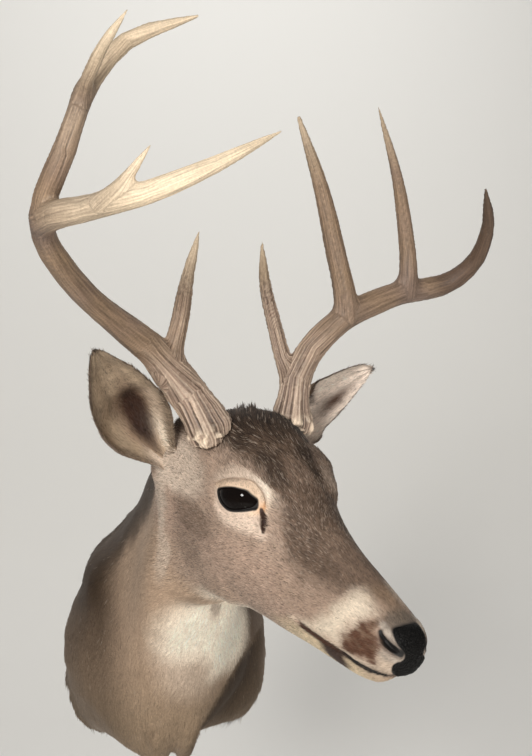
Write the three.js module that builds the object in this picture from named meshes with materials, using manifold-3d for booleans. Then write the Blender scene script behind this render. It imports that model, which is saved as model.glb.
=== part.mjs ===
// Shoulder mount of a white-tailed buck, head turned to its own left, on its backboard.
// Millimetres, +Z up. The origin is the middle of the backboard's rear face, on the wall.
// +Y goes into the wall, the buck looks along -Y, and +X is its left side.
// The coat is modelled out to the tips of its hair, in one loft that thin cuts part into pieces.
import * as THREE from 'three';
import { mergeVertices } from 'three/addons/utils/BufferGeometryUtils.js';
import Module from 'manifold-3d';

const wasm = await Module();
wasm.setup();

// ---- driving dimensions ----
const gap = 0.3; // clearance between neighbouring pieces
const hemAt = -4; // y of the rear edge of the hide
const board = { thickness: 18, scale: 0.83 };
const skull = { origin: [29, -366, 202], yaw: 30, pitch: 23, roll: 4 };
const eye = { radius: 17, centre: [109, 40.5, 26.5] };
const lids = { half: [18, 10, 10], at: [116, 56, 27], slant: 24 }; // the oval between them, slant in degrees
const detail = {
  around: 30, along: 46, tubeSides: 10, ovalSides: 14, ovalSteps: 10, earSides: 9, earSteps: 9,
};
const reach = 2000; // size of the blocks that cut
const headRoom = 200; // width of the blocks that cut through the head
const frameSteps = 60; // frames worked out along an antler's line
const forkGap = 0.5; // clearance where a tine leaves its beam

// Each ring of the loft runs from the keel, up one side over these heights, to the top.
const heights = [0.02, 0.12, 0.3, 0.5, 0.7, 0.87, 0.97];

// Trunk and neck rings: nape and throat points, share of the head's turn, half widths by height.
const bodyRings = [
  { nape: [0, hemAt, 140], throat: [-1, hemAt, -158], turn: 0, widths: [94, 112, 125, 118, 86, 54, 24] },
  { nape: [0, -45, 151], throat: [-5, -70, -161], turn: 0, widths: [46, 86, 120, 119, 82, 48, 22] },
  { nape: [1, -95, 166], throat: [-7, -130, -157], turn: 0, widths: [38, 74, 110, 109, 79, 43, 20] },
  { nape: [3, -150, 183], throat: [-7, -180, -147], turn: 0.05, widths: [34, 62, 92, 94, 70, 39, 19] },
  { nape: [6, -195, 200], throat: [-5, -214, -117], turn: 0.15, widths: [30, 48, 69, 75, 60, 34, 19] },
  { nape: [11, -240, 217], throat: [3, -240, -71], turn: 0.3, widths: [28, 45, 59, 61, 50, 32, 19] },
  { nape: [17, -285, 232], throat: [11, -268, -22], turn: 0.5, widths: [28, 50, 59, 54, 45, 33, 21] },
  { nape: [25, -325, 242], throat: [18, -303, 20], turn: 0.7, widths: [30, 54, 62, 55, 45, 34, 22] },
  { nape: [32, -360, 248], throat: [23, -335, 66], turn: 0.9, widths: [28, 50, 60, 56, 49, 38, 24] },
];
// Planes that part the trunk from the neck and the neck from the head.
const partings = {
  trunk: { nape: [6, -195, 200], throat: [-5, -214, -117], turn: 0.15 },
  head: { nape: [31, -352, 247], throat: [20, -312, 30], turn: 0.8 },
};

// Head rings, upright in the skull's frame: distance from the occiput, top, keel, half widths.
const headRings = [
  { at: [2, 16], top: 52, keel: -96, widths: [21, 41, 54, 58, 54, 42, 24] },
  { at: [30, 34], top: 68, keel: -98, widths: [17, 35, 50, 57, 56, 46, 27] },
  { at: [60, 60], top: 76, keel: -98, widths: [16, 33, 49, 58, 58, 48, 28] },
  { at: [90, 90], top: 73, keel: -95, widths: [15, 31, 47, 58, 59, 48, 27] },
  { at: [115, 115], top: 63, keel: -91, widths: [14, 30, 45, 55, 56, 45, 24] },
  { at: [140, 140], top: 52, keel: -86, widths: [12, 27, 41, 49, 48, 35, 19] },
  { at: [170, 170], top: 38, keel: -80, widths: [11, 25, 37, 43, 39, 27, 15] },
  { at: [200, 200], top: 27, keel: -73, widths: [10, 22, 34, 38, 34, 23, 13] },
  { at: [230, 230], top: 20, keel: -67, widths: [10, 19, 30, 33, 30, 22, 12] },
  { at: [257, 258], top: 14, keel: -62, widths: [9, 17, 25, 29, 28, 21, 12] },
  { at: [280, 278], top: 7, keel: -55, widths: [8, 15, 22, 26, 26, 21, 12] },
  { at: [296, 293], top: 0, keel: -44, widths: [7, 12, 18, 21, 21, 17, 10] },
  { at: [302, 300], top: -7, keel: -31, widths: [5, 8, 11, 13, 13, 11, 7] },
];

// Rises and hollows on both sides of the head, in the skull's frame.
const swells = [
  { at: [112, 56, 42], push: [0, 3, 3], spread: 18 }, // brow over the eye
  { at: [70, 56, -28], push: [0, 4, 0], spread: 32 }, // cheek
  { at: [150, 42, 12], push: [0, -3, 0], spread: 18 }, // hollow in front of the eye
  { at: [56, 44, 66], push: [0, 2, 3], spread: 16 }, // pedicle under each antler
];

// The mouth line and the rear edge of the nose pad, as x and z in the skull's frame.
const mouthLine = [[340, -41], [293, -40], [262, -38], [211, -40], [150, -50], [95, -66], [50, -110]];
const padEdge = [[280, 40], [280, 2], [283, -17], [294, -33], [340, -35]];

// Ears: base, tip and a point that the opening faces, in the skull's frame, and a sideways bow.
const ears = {
  right: { base: [29, -44, 12], tip: [40, -163, 137], facing: [140, -138, 40], bow: -7 },
  left: { base: [31, 42, 24], tip: [-3, 178, 84], facing: [120, 130, 80], bow: 4 },
};
const earShape = {
  wall: 4,
  halfWidths: [12, 19, 25, 31, 34, 33, 28, 20, 10, 2.5], // from base to tip
  wraps: [50, 120, 135, 118, 98, 82, 70, 60, 52, 45], // half of the cup's arc, in degrees
  tipWall: 0.8, // the wall near the tip, as a share of the half width
  rimWall: 0.2, // the wall at the rim, as a share of the wall behind it
  sit: 0.6, // how far the cup stands back from its axis, in half widths
};

// Antler lines in the skull's frame, with the radii evenly spaced along each.
const antlers = {
  right: {
    main: {
      points: [[58, -42, 52], [54, -44, 64], [27, -54, 87], [11, -74, 111], [8, -99, 130], [13, -126, 149],
        [24, -160, 174], [37, -192, 203], [50, -218, 234], [62, -226, 262], [70, -219, 300], [59, -201, 344],
        [50, -171, 376], [67, -126, 401]],
      radii: [18, 14.5, 13.5, 14, 13.5, 11.5, 10.5, 10.5, 10, 10, 9.5, 9, 8.5, 8, 7, 5.5, 1.5],
      pieces: { base: [0, 0.16], beam: [0.16, 0.56], upright: [0.56, 1] },
    },
    branches: {
      brow_tine: { points: [[14, -70, 102], [10, -67, 120], [6, -62, 146], [-9, -52, 176], [-25, -37, 217]],
        radii: [12, 9, 8, 7.5, 6, 4.5, 1.2] },
      forward_beam: { points: [[56, -224, 246], [80, -224, 258], [112, -216, 272], [146, -192, 293],
        [160, -155, 316], [161, -106, 342]], radii: [12, 10.5, 10, 9.5, 8.5, 7.5, 6, 4, 1.2] },
      rear_tine: { points: [[58, -206, 334], [72, -209, 350], [82, -206, 373], [88, -194, 400]],
        radii: [8, 6, 5, 3.8, 1.2] },
      kicker: { points: [[121, -212, 279], [133, -205, 296], [136, -190, 322]], radii: [8, 6, 4, 1.2] },
    },
  },
  left: {
    main: {
      points: [[58, 42, 52], [53, 43, 66], [42, 50, 100], [40, 62, 128], [41, 92, 157], [43, 120, 170],
        [44, 150, 180], [47, 176, 184], [57, 199, 195], [70, 210, 219], [83, 202, 255], [97, 171, 295]],
      radii: [17, 15, 13, 12.5, 12.5, 12.5, 12, 11.5, 11, 9.5, 8, 6.5, 5, 1.5],
      pieces: { base: [0, 0.17], beam: [0.17, 0.56], beam_end: [0.56, 1] },
    },
    branches: {
      brow_tine: { points: [[38, 48, 92], [24, 42, 114], [9, 39, 137], [-7, 32, 170], [-13, 23, 212]],
        radii: [10, 8, 7, 6.5, 6, 4.5, 1.2] },
      second_tine: { points: [[41, 92, 164], [36, 88, 182], [23, 84, 206], [-4, 72, 263], [-31, 51, 322]],
        radii: [12, 10, 9.5, 8.5, 7, 5, 2.2] },
      third_tine: { points: [[46, 156, 184], [44, 155, 200], [35, 155, 221], [16, 142, 280], [-6, 119, 341]],
        radii: [11, 8.5, 7.5, 6.5, 5, 3.5, 1.2] },
    },
  },
};
const burr = { radius: 21.5, at: 0.035, width: 0.02 }; // ring of bone round each antler's foot

// ---- colours ----
const finishes = {
  coat: { color: 0x8a7360, roughness: 0.9 },
  neck: { color: 0x7d6858, roughness: 0.9 },
  muzzle: { color: 0xb9a184, roughness: 0.85 },
  nose: { color: 0x1b1817, roughness: 0.5 },
  ear: { color: 0xa08674, roughness: 0.9 },
  eye: { color: 0x0c0908, roughness: 0.05 },
  antler: { color: 0x93795c, roughness: 0.6 },
  tine: { color: 0xa58e6d, roughness: 0.55 },
  board: { color: 0x9c7b52, roughness: 0.8 },
};

const model = new THREE.Group();

// ---- the skull's frame ----
const vector = (point) => new THREE.Vector3(...point);
const skullAxes = frameOfSkull();
const skullMatrix = new THREE.Matrix4()
  .makeBasis(skullAxes.forward, skullAxes.left, skullAxes.up)
  .setPosition(vector(skull.origin));
const skullInverse = skullMatrix.clone().invert();
const inSkull = (point) => vector(point).applyMatrix4(skullMatrix);

function frameOfSkull() {
  const [yaw, pitch, roll] = [skull.yaw, skull.pitch, skull.roll].map(THREE.MathUtils.degToRad);
  const forward = new THREE.Vector3(
    Math.sin(yaw) * Math.cos(pitch), -Math.cos(yaw) * Math.cos(pitch), -Math.sin(pitch));
  const level = new THREE.Vector3(Math.cos(yaw), Math.sin(yaw), 0);
  const left = level.applyAxisAngle(forward, roll);
  return { forward, left, up: new THREE.Vector3().crossVectors(forward, left) };
}

// ---- solids ----
// Moves each point of a closed unit cylinder: place(along 0-1, round 0-1, 0 on the axis or 1 outside).
function mould(around, along, place) {
  const shape = new THREE.CylinderGeometry(1, 1, 1, around, along);
  const spots = shape.attributes.position;
  for (let i = 0; i < spots.count; i += 1) {
    const [x, y, z] = [spots.getX(i), spots.getY(i), spots.getZ(i)];
    const round = (Math.atan2(x, z) / (2 * Math.PI) + 1 + 1e-9) % 1;
    const spot = place(0.5 - y, round, Math.min(1, Math.round(Math.hypot(x, z))));
    spots.setXYZ(i, spot.x, spot.y, spot.z);
  }
  return shape;
}

function solidOf(geometry) {
  const bare = geometry.clone();
  bare.deleteAttribute('normal');
  bare.deleteAttribute('uv');
  const merged = mergeVertices(bare, 1e-3);
  const triVerts = new Uint32Array(merged.index.array);
  const vertProperties = new Float32Array(merged.attributes.position.array);
  const solid = new wasm.Manifold(new wasm.Mesh({ numProp: 3, vertProperties, triVerts }));
  if (solid.volume() > 0) return solid;
  for (let i = 0; i < triVerts.length; i += 3) {
    [triVerts[i + 1], triVerts[i + 2]] = [triVerts[i + 2], triVerts[i + 1]];
  }
  return new wasm.Manifold(new wasm.Mesh({ numProp: 3, vertProperties, triVerts }));
}

function geometryOf(solid) {
  const mesh = solid.getMesh();
  const geometry = new THREE.BufferGeometry();
  geometry.setAttribute('position', new THREE.BufferAttribute(new Float32Array(mesh.vertProperties), 3));
  geometry.setIndex(new THREE.BufferAttribute(new Uint32Array(mesh.triVerts), 1));
  return geometry;
}

function addPiece(name, solid, finish) {
  const geometry = geometryOf(solid);
  geometry.computeVertexNormals();
  const mesh = new THREE.Mesh(geometry, new THREE.MeshStandardMaterial(finishes[finish]));
  mesh.name = name;
  model.add(mesh);
}

// A block that fills the space on the side of a plane that direction points to.
function sideOf(point, direction, offset) {
  const block = new THREE.BoxGeometry(reach, reach, reach).translate(0, 0, reach / 2 + offset);
  const turn = new THREE.Quaternion().setFromUnitVectors(new THREE.Vector3(0, 0, 1), direction);
  return solidOf(block.applyQuaternion(turn).translate(point.x, point.y, point.z));
}

// A profile drawn in the skull's x and z, closed round a far corner and run through the head.
function throughHead(line, corner, lift) {
  const outline = new THREE.Shape();
  outline.setFromPoints([...line.map(([x, z]) => new THREE.Vector2(x + lift[0], z + lift[1])),
    new THREE.Vector2(...corner)]);
  const block = new THREE.ExtrudeGeometry(outline, { depth: headRoom, bevelEnabled: false });
  const side = skullAxes.left.clone().negate();
  const place = new THREE.Matrix4().makeBasis(skullAxes.forward, skullAxes.up, side)
    .setPosition(inSkull([0, headRoom / 2, 0]));
  return solidOf(block.applyMatrix4(place));
}

// ---- the coat ----
function ringPoints(top, keel, left, widths, grow) {
  const rise = top.clone().sub(keel).normalize();
  const high = top.clone().addScaledVector(rise, grow);
  const low = keel.clone().addScaledVector(rise, -grow);
  const at = (height, width) => low.clone().lerp(high, height).addScaledVector(left, width);
  const right = heights.map((height, i) => at(height, -widths[i] - grow));
  const mirrored = heights.map((height, i) => at(height, widths[i] + grow)).reverse();
  return [low, ...right, high, ...mirrored];
}

function coatRings(grow) {
  const plain = new THREE.Vector3(1, 0, 0);
  const body = bodyRings.map(({ nape, throat, turn, widths }) => {
    const left = plain.clone().lerp(skullAxes.left, turn).normalize();
    return ringPoints(vector(nape), vector(throat), left, widths, grow);
  });
  const head = headRings.map(({ at, top, keel, widths }) => ringPoints(
    inSkull([at[0], 0, top]), inSkull([at[1], 0, keel]), skullAxes.left, widths, grow));
  return [...body, ...head];
}

function swell(point) {
  const own = point.clone().applyMatrix4(skullInverse);
  const moved = own.clone();
  for (const { at, push, spread } of swells) {
    for (const side of [-1, 1]) {
      const far = own.distanceTo(new THREE.Vector3(at[0], side * at[1], at[2]));
      const share = Math.exp(-((far / spread) ** 2));
      moved.add(new THREE.Vector3(push[0], side * push[1], push[2]).multiplyScalar(share));
    }
  }
  return moved.applyMatrix4(skullMatrix);
}

function coat(grow) {
  const rings = coatRings(grow);
  const lines = rings[0].map((_, i) => new THREE.CatmullRomCurve3(rings.map((ring) => ring[i])));
  const made = new Map();
  const ringAt = (along) => {
    if (!made.has(along)) {
      made.set(along, new THREE.CatmullRomCurve3(lines.map((line) => line.getPoint(along)), true));
    }
    return made.get(along);
  };
  const place = (along, round, outside) => {
    const ring = ringAt(along);
    if (outside) return swell(ring.getPoint(round));
    const middle = ring.points.reduce((sum, point) => sum.add(point), new THREE.Vector3());
    return swell(middle.divideScalar(ring.points.length));
  };
  return solidOf(mould(detail.around, detail.along, place));
}

function parting({ nape, throat, turn }) {
  const left = new THREE.Vector3(1, 0, 0).lerp(skullAxes.left, turn).normalize();
  const rise = vector(nape).sub(vector(throat)).normalize();
  return { point: vector(nape), ahead: new THREE.Vector3().crossVectors(left, rise).normalize() };
}

// ---- eyes ----
function eyeball(side, grow) {
  const [x, y, z] = eye.centre;
  const spot = inSkull([x, side * y, z]);
  const ball = new THREE.SphereGeometry(eye.radius + grow, detail.ovalSides, detail.ovalSteps);
  return solidOf(ball.translate(spot.x, spot.y, spot.z));
}

// The oval that the lids leave open, drawn in the skull's frame and slanted outwards to the rear.
function lidOpening(side) {
  const [x, y, z] = lids.at;
  const [long, deep, high] = lids.half;
  const oval = new THREE.SphereGeometry(1, detail.ovalSides, detail.ovalSteps).scale(long, deep, high);
  oval.rotateZ(-side * THREE.MathUtils.degToRad(lids.slant)).translate(x, side * y, z);
  return solidOf(oval.applyMatrix4(skullMatrix));
}

// ---- ears ----
// A cup whose arc narrows from a rolled base to an open tip; its ring goes out and back inside.
function ear({ base, tip, facing, bow }) {
  const foot = inSkull(base);
  const axis = inSkull(tip).sub(foot);
  const long = axis.clone().normalize();
  const open = inSkull(facing).sub(foot);
  open.addScaledVector(long, -open.dot(long)).normalize();
  const side = new THREE.Vector3().crossVectors(long, open);
  const among = (list, along) => {
    const spot = along * (list.length - 1);
    const first = Math.min(list.length - 2, Math.floor(spot));
    return THREE.MathUtils.lerp(list[first], list[first + 1], spot - first);
  };
  const place = (along, round, outside) => {
    const wrap = THREE.MathUtils.degToRad(among(earShape.wraps, along));
    const half = among(earShape.halfWidths, along);
    const radius = half / Math.sin(Math.min(wrap, Math.PI / 2));
    const wall = Math.min(earShape.wall, half * earShape.tipWall);
    const within = round < 0.5 ? round * 2 : 2 - round * 2;
    const isOuter = round < 0.5;
    const angle = (within * 2 - 1) * wrap;
    const far = isOuter ? radius : radius - wall * (Math.sin(within * Math.PI) + earShape.rimWall);
    const centre = foot.clone().addScaledVector(axis, along)
      .addScaledVector(side, bow * Math.sin(along * Math.PI))
      .addScaledVector(open, radius * (1 + Math.cos(wrap)) / 2 - half * earShape.sit);
    if (!outside) return centre.clone().addScaledVector(open, -(radius - wall / 2));
    return centre.addScaledVector(open, -far * Math.cos(angle)).addScaledVector(side, far * Math.sin(angle));
  };
  return solidOf(mould(detail.earSides * 2, detail.earSteps, place));
}

// ---- antlers ----
function tube({ points, radii }, from, to, grow, hasBurr) {
  const curve = new THREE.CatmullRomCurve3(points.map(inSkull));
  const steps = Math.max(6, Math.round(points.length * 2 * (to - from)));
  const frames = curve.computeFrenetFrames(frameSteps, false);
  const radiusAt = (along) => {
    const spot = along * (radii.length - 1);
    const first = Math.min(radii.length - 2, Math.floor(spot));
    const plain = THREE.MathUtils.lerp(radii[first], radii[first + 1], spot - first);
    const near = hasBurr ? Math.exp(-(((along - burr.at) / burr.width) ** 2)) : 0;
    return plain + Math.max(0, burr.radius - plain) * near + grow;
  };
  const place = (share, round, outside) => {
    const along = THREE.MathUtils.lerp(from, to, share);
    const spot = curve.getPointAt(along);
    if (!outside) return spot;
    const first = Math.min(frameSteps - 1, Math.floor(along * frameSteps));
    const across = (axes) => axes[first].clone().lerp(axes[first + 1], along * frameSteps - first);
    const angle = round * 2 * Math.PI;
    return spot.addScaledVector(across(frames.normals), Math.cos(angle) * radiusAt(along))
      .addScaledVector(across(frames.binormals), Math.sin(angle) * radiusAt(along));
  };
  return solidOf(mould(detail.tubeSides, steps, place));
}

function addAntler(side, scalp) {
  const { main, branches } = antlers[side];
  const length = new THREE.CatmullRomCurve3(main.points.map(vector)).getLength();
  for (const [name, [from, to]] of Object.entries(main.pieces)) {
    const start = from > 0 ? from + gap / length : 0;
    const piece = tube(main, start, to, 0, true);
    addPiece(`antler_${side}_${name}`, from > 0 ? piece : piece.subtract(scalp), 'antler');
  }
  const grown = Object.values(main.pieces).map(([from, to]) => tube(main, from, to, forkGap, true));
  for (const [name, branch] of Object.entries(branches)) {
    const free = grown.reduce((solid, other) => solid.subtract(other), tube(branch, 0, 1, 0, false));
    addPiece(`antler_${side}_${name}`, largest(free), 'tine');
    grown.push(tube(branch, 0, 1, forkGap, false));
  }
}

function largest(solid) {
  return solid.decompose().sort((a, b) => b.volume() - a.volume())[0];
}

// ---- backboard ----
function backboard() {
  const ring = new THREE.CatmullRomCurve3(coatRings(0)[0], true);
  const outline = new THREE.Shape();
  outline.setFromPoints(ring.getPoints(detail.around)
    .map((point) => new THREE.Vector2(point.x * board.scale, point.z * board.scale)));
  const plate = new THREE.ExtrudeGeometry(outline, { depth: board.thickness, bevelEnabled: false });
  return plate.rotateX(Math.PI / 2);
}

// ---- assembly ----
const body = coat(0);
const scalp = coat(gap);
const trunkCut = parting(partings.trunk);
const headCut = parting(partings.head);
const behind = (cut) => sideOf(cut.point, cut.ahead.clone().negate(), gap / 2);
const before = (cut) => sideOf(cut.point, cut.ahead, gap / 2);

const plate = backboard();
const recess = solidOf(plate.clone().scale(1.004, 1, 1.004).translate(0, -gap, 0));
addPiece('backboard', solidOf(plate), 'board');
addPiece('chest', body.intersect(behind(trunkCut)).subtract(recess), 'neck');
addPiece('neck', body.intersect(before(trunkCut)).intersect(behind(headCut)), 'neck');

const farBelow = [340, -300];
const farAhead = [500, 300];
const sides = { right: -1, left: 1 };
const whole = body.intersect(before(headCut));
const upper = whole.subtract(throughHead(mouthLine, farBelow, [0, gap]));
const face = Object.values(sides).reduce(
  (solid, side) => solid.subtract(eyeball(side, gap)).subtract(lidOpening(side)), upper);
addPiece('head', largest(face.subtract(throughHead(padEdge, farAhead, [-gap, -gap]))), 'coat');
addPiece('lower_jaw', largest(whole.intersect(throughHead(mouthLine, farBelow, [0, 0]))), 'muzzle');
addPiece('nose_pad', largest(upper.intersect(throughHead(padEdge, farAhead, [0, 0]))), 'nose');

for (const [side, sign] of Object.entries(sides)) {
  addPiece(`eye_${side}`, eyeball(sign, 0), 'eye');
  addPiece(`ear_${side}`, largest(ear(ears[side]).subtract(scalp)), 'ear');
  addAntler(side, scalp);
}

export default model;
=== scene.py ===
import math

import bmesh
import bpy
import numpy as np
from mathutils import Matrix, Vector
from mathutils.bvhtree import BVHTree


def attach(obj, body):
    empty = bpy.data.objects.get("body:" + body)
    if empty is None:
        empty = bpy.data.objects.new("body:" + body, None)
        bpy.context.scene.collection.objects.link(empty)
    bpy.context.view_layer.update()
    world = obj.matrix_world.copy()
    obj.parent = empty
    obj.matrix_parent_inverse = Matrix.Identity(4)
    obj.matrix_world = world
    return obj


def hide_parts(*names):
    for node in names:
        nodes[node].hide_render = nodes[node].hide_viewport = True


# Shoulder mount of a white-tailed buck: hide, coat, antlers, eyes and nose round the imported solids.
# Mesh points are metres in the row frame. Shapes on the head are given in millimetres in the skull's
# frame: x from the back of the skull to the nose, y to the buck's left, z up.

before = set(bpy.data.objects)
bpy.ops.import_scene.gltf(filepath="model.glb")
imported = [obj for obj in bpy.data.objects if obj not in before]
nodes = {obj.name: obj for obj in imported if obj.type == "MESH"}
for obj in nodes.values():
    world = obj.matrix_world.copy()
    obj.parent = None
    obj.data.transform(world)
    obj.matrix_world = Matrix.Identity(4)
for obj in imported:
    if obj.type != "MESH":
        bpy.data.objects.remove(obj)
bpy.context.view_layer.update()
mm = 0.001
sides = {"right": -1, "left": 1}
skull = {"origin": (0.029, -0.366, 0.202), "yaw": 30, "pitch": 23, "roll": 4}


def skullAxes():
    yaw, pitch, roll = (math.radians(skull[key]) for key in ("yaw", "pitch", "roll"))
    forward = Vector((math.sin(yaw) * math.cos(pitch), -math.cos(yaw) * math.cos(pitch), -math.sin(pitch)))
    level = Vector((math.cos(yaw), math.sin(yaw), 0))
    left = Matrix.Rotation(roll, 3, forward) @ level
    return np.array([forward, left, forward.cross(left)])


axes = skullAxes()
origin = np.array(skull["origin"])


def toSkull(points):
    return (points - origin) @ axes.T / mm


def fromSkull(points):
    return origin + np.asarray(points, float) * mm @ axes


def unit(vectors):
    return vectors / np.maximum(np.linalg.norm(vectors, axis=-1, keepdims=True), 1e-9)


def ramp(low, high, value):  # 0 below low, 1 above high, smooth between
    share = np.clip((value - low) / (high - low), 0, 1)
    return share * share * (3 - 2 * share)


def mix(first, second, share):
    return first + (second - first) * share


def tint(first, second, share):  # the same for colours or vectors, one share for each
    return mix(first, second, np.asarray(share)[..., None])


def curveThrough(padded, low, t):  # between four neighbours in turn, the curve from the second to the third
    a, b, c, d = (padded[low + k] for k in range(4))
    return b + 0.5 * t * (c - a + t * (2 * a - 5 * b + 4 * c - d + t * (3 * (b - c) + d - a)))


def smoothTable(values, at):  # a smooth curve through evenly spaced values, at from 0 to 1
    values = np.array(values, float)
    spot = np.clip(at, 0, 1) * (len(values) - 1)
    low = np.clip(np.floor(spot).astype(int), 0, len(values) - 2)
    padded = np.concatenate([[2 * values[0] - values[1]], values, [2 * values[-1] - values[-2]]])
    return curveThrough(padded, low, spot - low)


latticeSide = 32
lattices = {}


def waver(points, size, seed=1):  # smooth noise from 0 to 1 with grains of that size
    if seed not in lattices:
        lattices[seed] = np.random.default_rng(seed).random((latticeSide,) * 3)
    lattice = lattices[seed]
    cell = points / size
    low = np.floor(cell).astype(int)
    share = cell - low
    share = share * share * (3 - 2 * share)
    total = 0
    for corner in np.ndindex(2, 2, 2):
        weight = np.prod(np.where(corner, share, 1 - share), axis=1)
        index = (low + corner) % latticeSide
        total = total + weight * lattice[index[:, 0], index[:, 1], index[:, 2]]
    return total


def alongLine(points, line):  # distance to a line of points, the share along it and the nearest spot
    line = np.array(line, float)
    lengths = np.linalg.norm(np.diff(line, axis=0), axis=1)
    done = np.concatenate([[0], np.cumsum(lengths)])
    best = np.full(len(points), np.inf)
    share = np.zeros(len(points))
    spot = np.zeros_like(points)
    for start, end, length, before in zip(line, line[1:], lengths, done):
        way = (end - start) / length
        t = np.clip((points - start) @ way, 0, length)
        near = start + t[:, None] * way
        far = np.linalg.norm(points - near, axis=1)
        closer = far < best
        best[closer] = far[closer]
        share[closer] = (before + t[closer]) / done[-1]
        spot[closer] = near[closer]
    return best, share, spot


def readFrom(items, key, width, kind=np.float32):  # a table with one row for each item of a mesh
    flat = np.empty(len(items) * width, kind)
    items.foreach_get(key, flat)
    return flat.reshape(-1, width)


def pointsOf(mesh):
    return readFrom(mesh.vertices, "co", 3).astype(float)


def setPoints(mesh, points):
    mesh.vertices.foreach_set("co", np.ascontiguousarray(points, np.float32).ravel())
    mesh.update()


def normalsOf(mesh):
    return readFrom(mesh.vertex_normals, "vector", 3).astype(float)


def edgesOf(mesh):
    return readFrom(mesh.edges, "vertices", 2, np.int32)


def meshOf(bm, name):
    mesh = bpy.data.meshes.new(name)
    bm.to_mesh(mesh)
    bm.free()
    return mesh


def objectOf(data, name):
    made = bpy.data.objects.new(name, data)
    bpy.context.scene.collection.objects.link(made)
    return made


def finished(mesh, name, material, replaced=()):
    mesh.materials.clear()
    mesh.materials.append(material)
    mesh.shade_smooth()
    made = objectOf(mesh, name)
    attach(made, "root")
    if replaced:
        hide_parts(*replaced)


def throughModifiers(mesh, *settings):  # the mesh after these modifiers
    made = objectOf(mesh, "work")
    for kind, values in settings:
        modifier = made.modifiers.new(kind, kind)
        for key, value in values.items():
            setattr(modifier, key, value)
    result = bpy.data.meshes.new_from_object(made.evaluated_get(bpy.context.evaluated_depsgraph_get()))
    bpy.data.objects.remove(made)
    return result


def unionOf(names, voxel, rounds, extra=None):  # one smooth mesh over copies of these solids
    bm = bmesh.new()
    for name in names:
        bm.from_mesh(nodes[name].data)
    if extra:
        extra(bm)
    bmesh.ops.remove_doubles(bm, verts=bm.verts, dist=0.01 * mm)
    remesh = {"mode": "VOXEL", "voxel_size": voxel * mm}
    smooth = {"factor": 0.5, "iterations": rounds}
    return throughModifiers(meshOf(bm, "union"), ("REMESH", remesh), ("SMOOTH", smooth))


def refined(mesh, chosen):  # each chosen face in four
    bm = bmesh.new()
    bm.from_mesh(mesh)
    bm.faces.ensure_lookup_table()
    edges = {edge for index in np.flatnonzero(chosen) for edge in bm.faces[index].edges}
    bmesh.ops.subdivide_edges(bm, edges=list(edges), cuts=1, use_grid_fill=True)
    return meshOf(bm, "refined")


def faceCentres(mesh):
    return readFrom(mesh.polygons, "center", 3).astype(float)


def relax(points, edges, share, rounds):  # each point moves by its share towards its neighbours
    first, second = edges.T
    count = len(points)
    joined = np.bincount(edges.ravel(), minlength=count)[:, None]
    for _ in range(rounds):
        total = np.stack([np.bincount(first, points[second, k], count) +
                          np.bincount(second, points[first, k], count) for k in range(3)], axis=1)
        points = points + share[:, None] * (total / joined - points)
    return points


def setColours(mesh, colours, name="coatColour"):
    layer = mesh.attributes.new(name, "FLOAT_COLOR", "POINT")
    filled = np.ones((len(colours), 4), np.float32)
    filled[:, :3] = colours
    layer.data.foreach_set("color", filled.ravel())


def setVectors(mesh, name, vectors):
    layer = mesh.attributes.get(name) or mesh.attributes.new(name, "FLOAT_VECTOR", "POINT")
    layer.data.foreach_set("vector", np.ascontiguousarray(vectors, np.float32).ravel())


def linear(red, green, blue):  # a colour given as on a screen, 0 to 255
    screen = np.array([red, green, blue]) / 255
    return np.where(screen < 0.04045, screen / 12.92, ((screen + 0.055) / 1.055) ** 2.4)


camera = {"at": (-0.045, -1.405, 0.280), "turn": -7, "lens": 52.38, "sensor": 36}


def makeCamera():
    data = bpy.data.cameras.new("camera")
    data.lens = camera["lens"]
    data.sensor_width = camera["sensor"]
    made = objectOf(data, "camera")
    made.location = camera["at"]
    made.rotation_euler = (math.radians(90), 0, math.radians(camera["turn"]))
    bpy.context.scene.camera = made


makeCamera()
print("camera set")

# Face features, in the skull's frame on the left side; the right mirrors them.
eye = {"centre": (109, 40.5, 26.5), "out": (0.43, 0.90, 0.0), "middle": 1.2, "long": 20.5, "radius": 17,
       "lid": 1.4, "socket": 2.4, "blend": 13, "corner": 2.0, "pit": 5.0, "leftIn": 5.5,
       "apart": 14, "reach": 62}
# The opening of the lids and the pale ring round it, along the eye and up from its centre.
lidOpening = [(-18.9, -0.7), (-13.1, 5.7), (-3.0, 11.0), (8.0, 12.2), (13.8, 9.9), (18.9, 6.6), (21.1, 3.3),
              (21.3, -0.3), (17.8, -1.6), (7.8, -5.7), (-1.3, -8.7), (-9.2, -7.3), (-13.9, -4.7)]
paleRing = [(-22.5, -5.5), (-23, 1), (-20, 8), (-14, 13), (-4, 18), (8, 20), (17, 19), (26, 13), (31, 6),
            (33, -3), (37, -12), (43, -17), (38, -21), (29, -21), (15, -22), (5, -23.5), (-4, -23),
            (-12, -20), (-17, -15), (-20, -10)]
padHalf = [(8, 3.3), (12.6, 1.6), (14.2, -1.6), (13.4, -5.2), (10.6, -8.7), (9.3, -12), (10.4, -15.8),
           (14.6, -18.6), (15.8, -22), (14.2, -28), (9.0, -33)]
padOutline = [(0, 4.0), *padHalf, (0, -35.5), *((-y, z) for y, z in reversed(padHalf))]
pad = {"near": 262, "front": 278, "far": 60.0}  # lengths along the face, and the distance given off the pad
tearSlit = {"line": [(136.5, 39, 26.5), (141, 38.5, 22.5), (144.3, 39.5, 18), (147.5, 40.5, 12.5)],
            "width": 4.1, "depth": 6.0, "taper": 0.45}
nostril = {"line": [(280, 20.4, -0.9), (283.3, 21.3, -3), (286.2, 21.3, -4.8), (289.7, 20.6, -5.9),
                    (293.5, 19.2, -7.2), (297, 17, -8.1), (300, 13.5, -9.5)],
           "width": 2.9, "depth": 7, "taper": 0.3}
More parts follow.
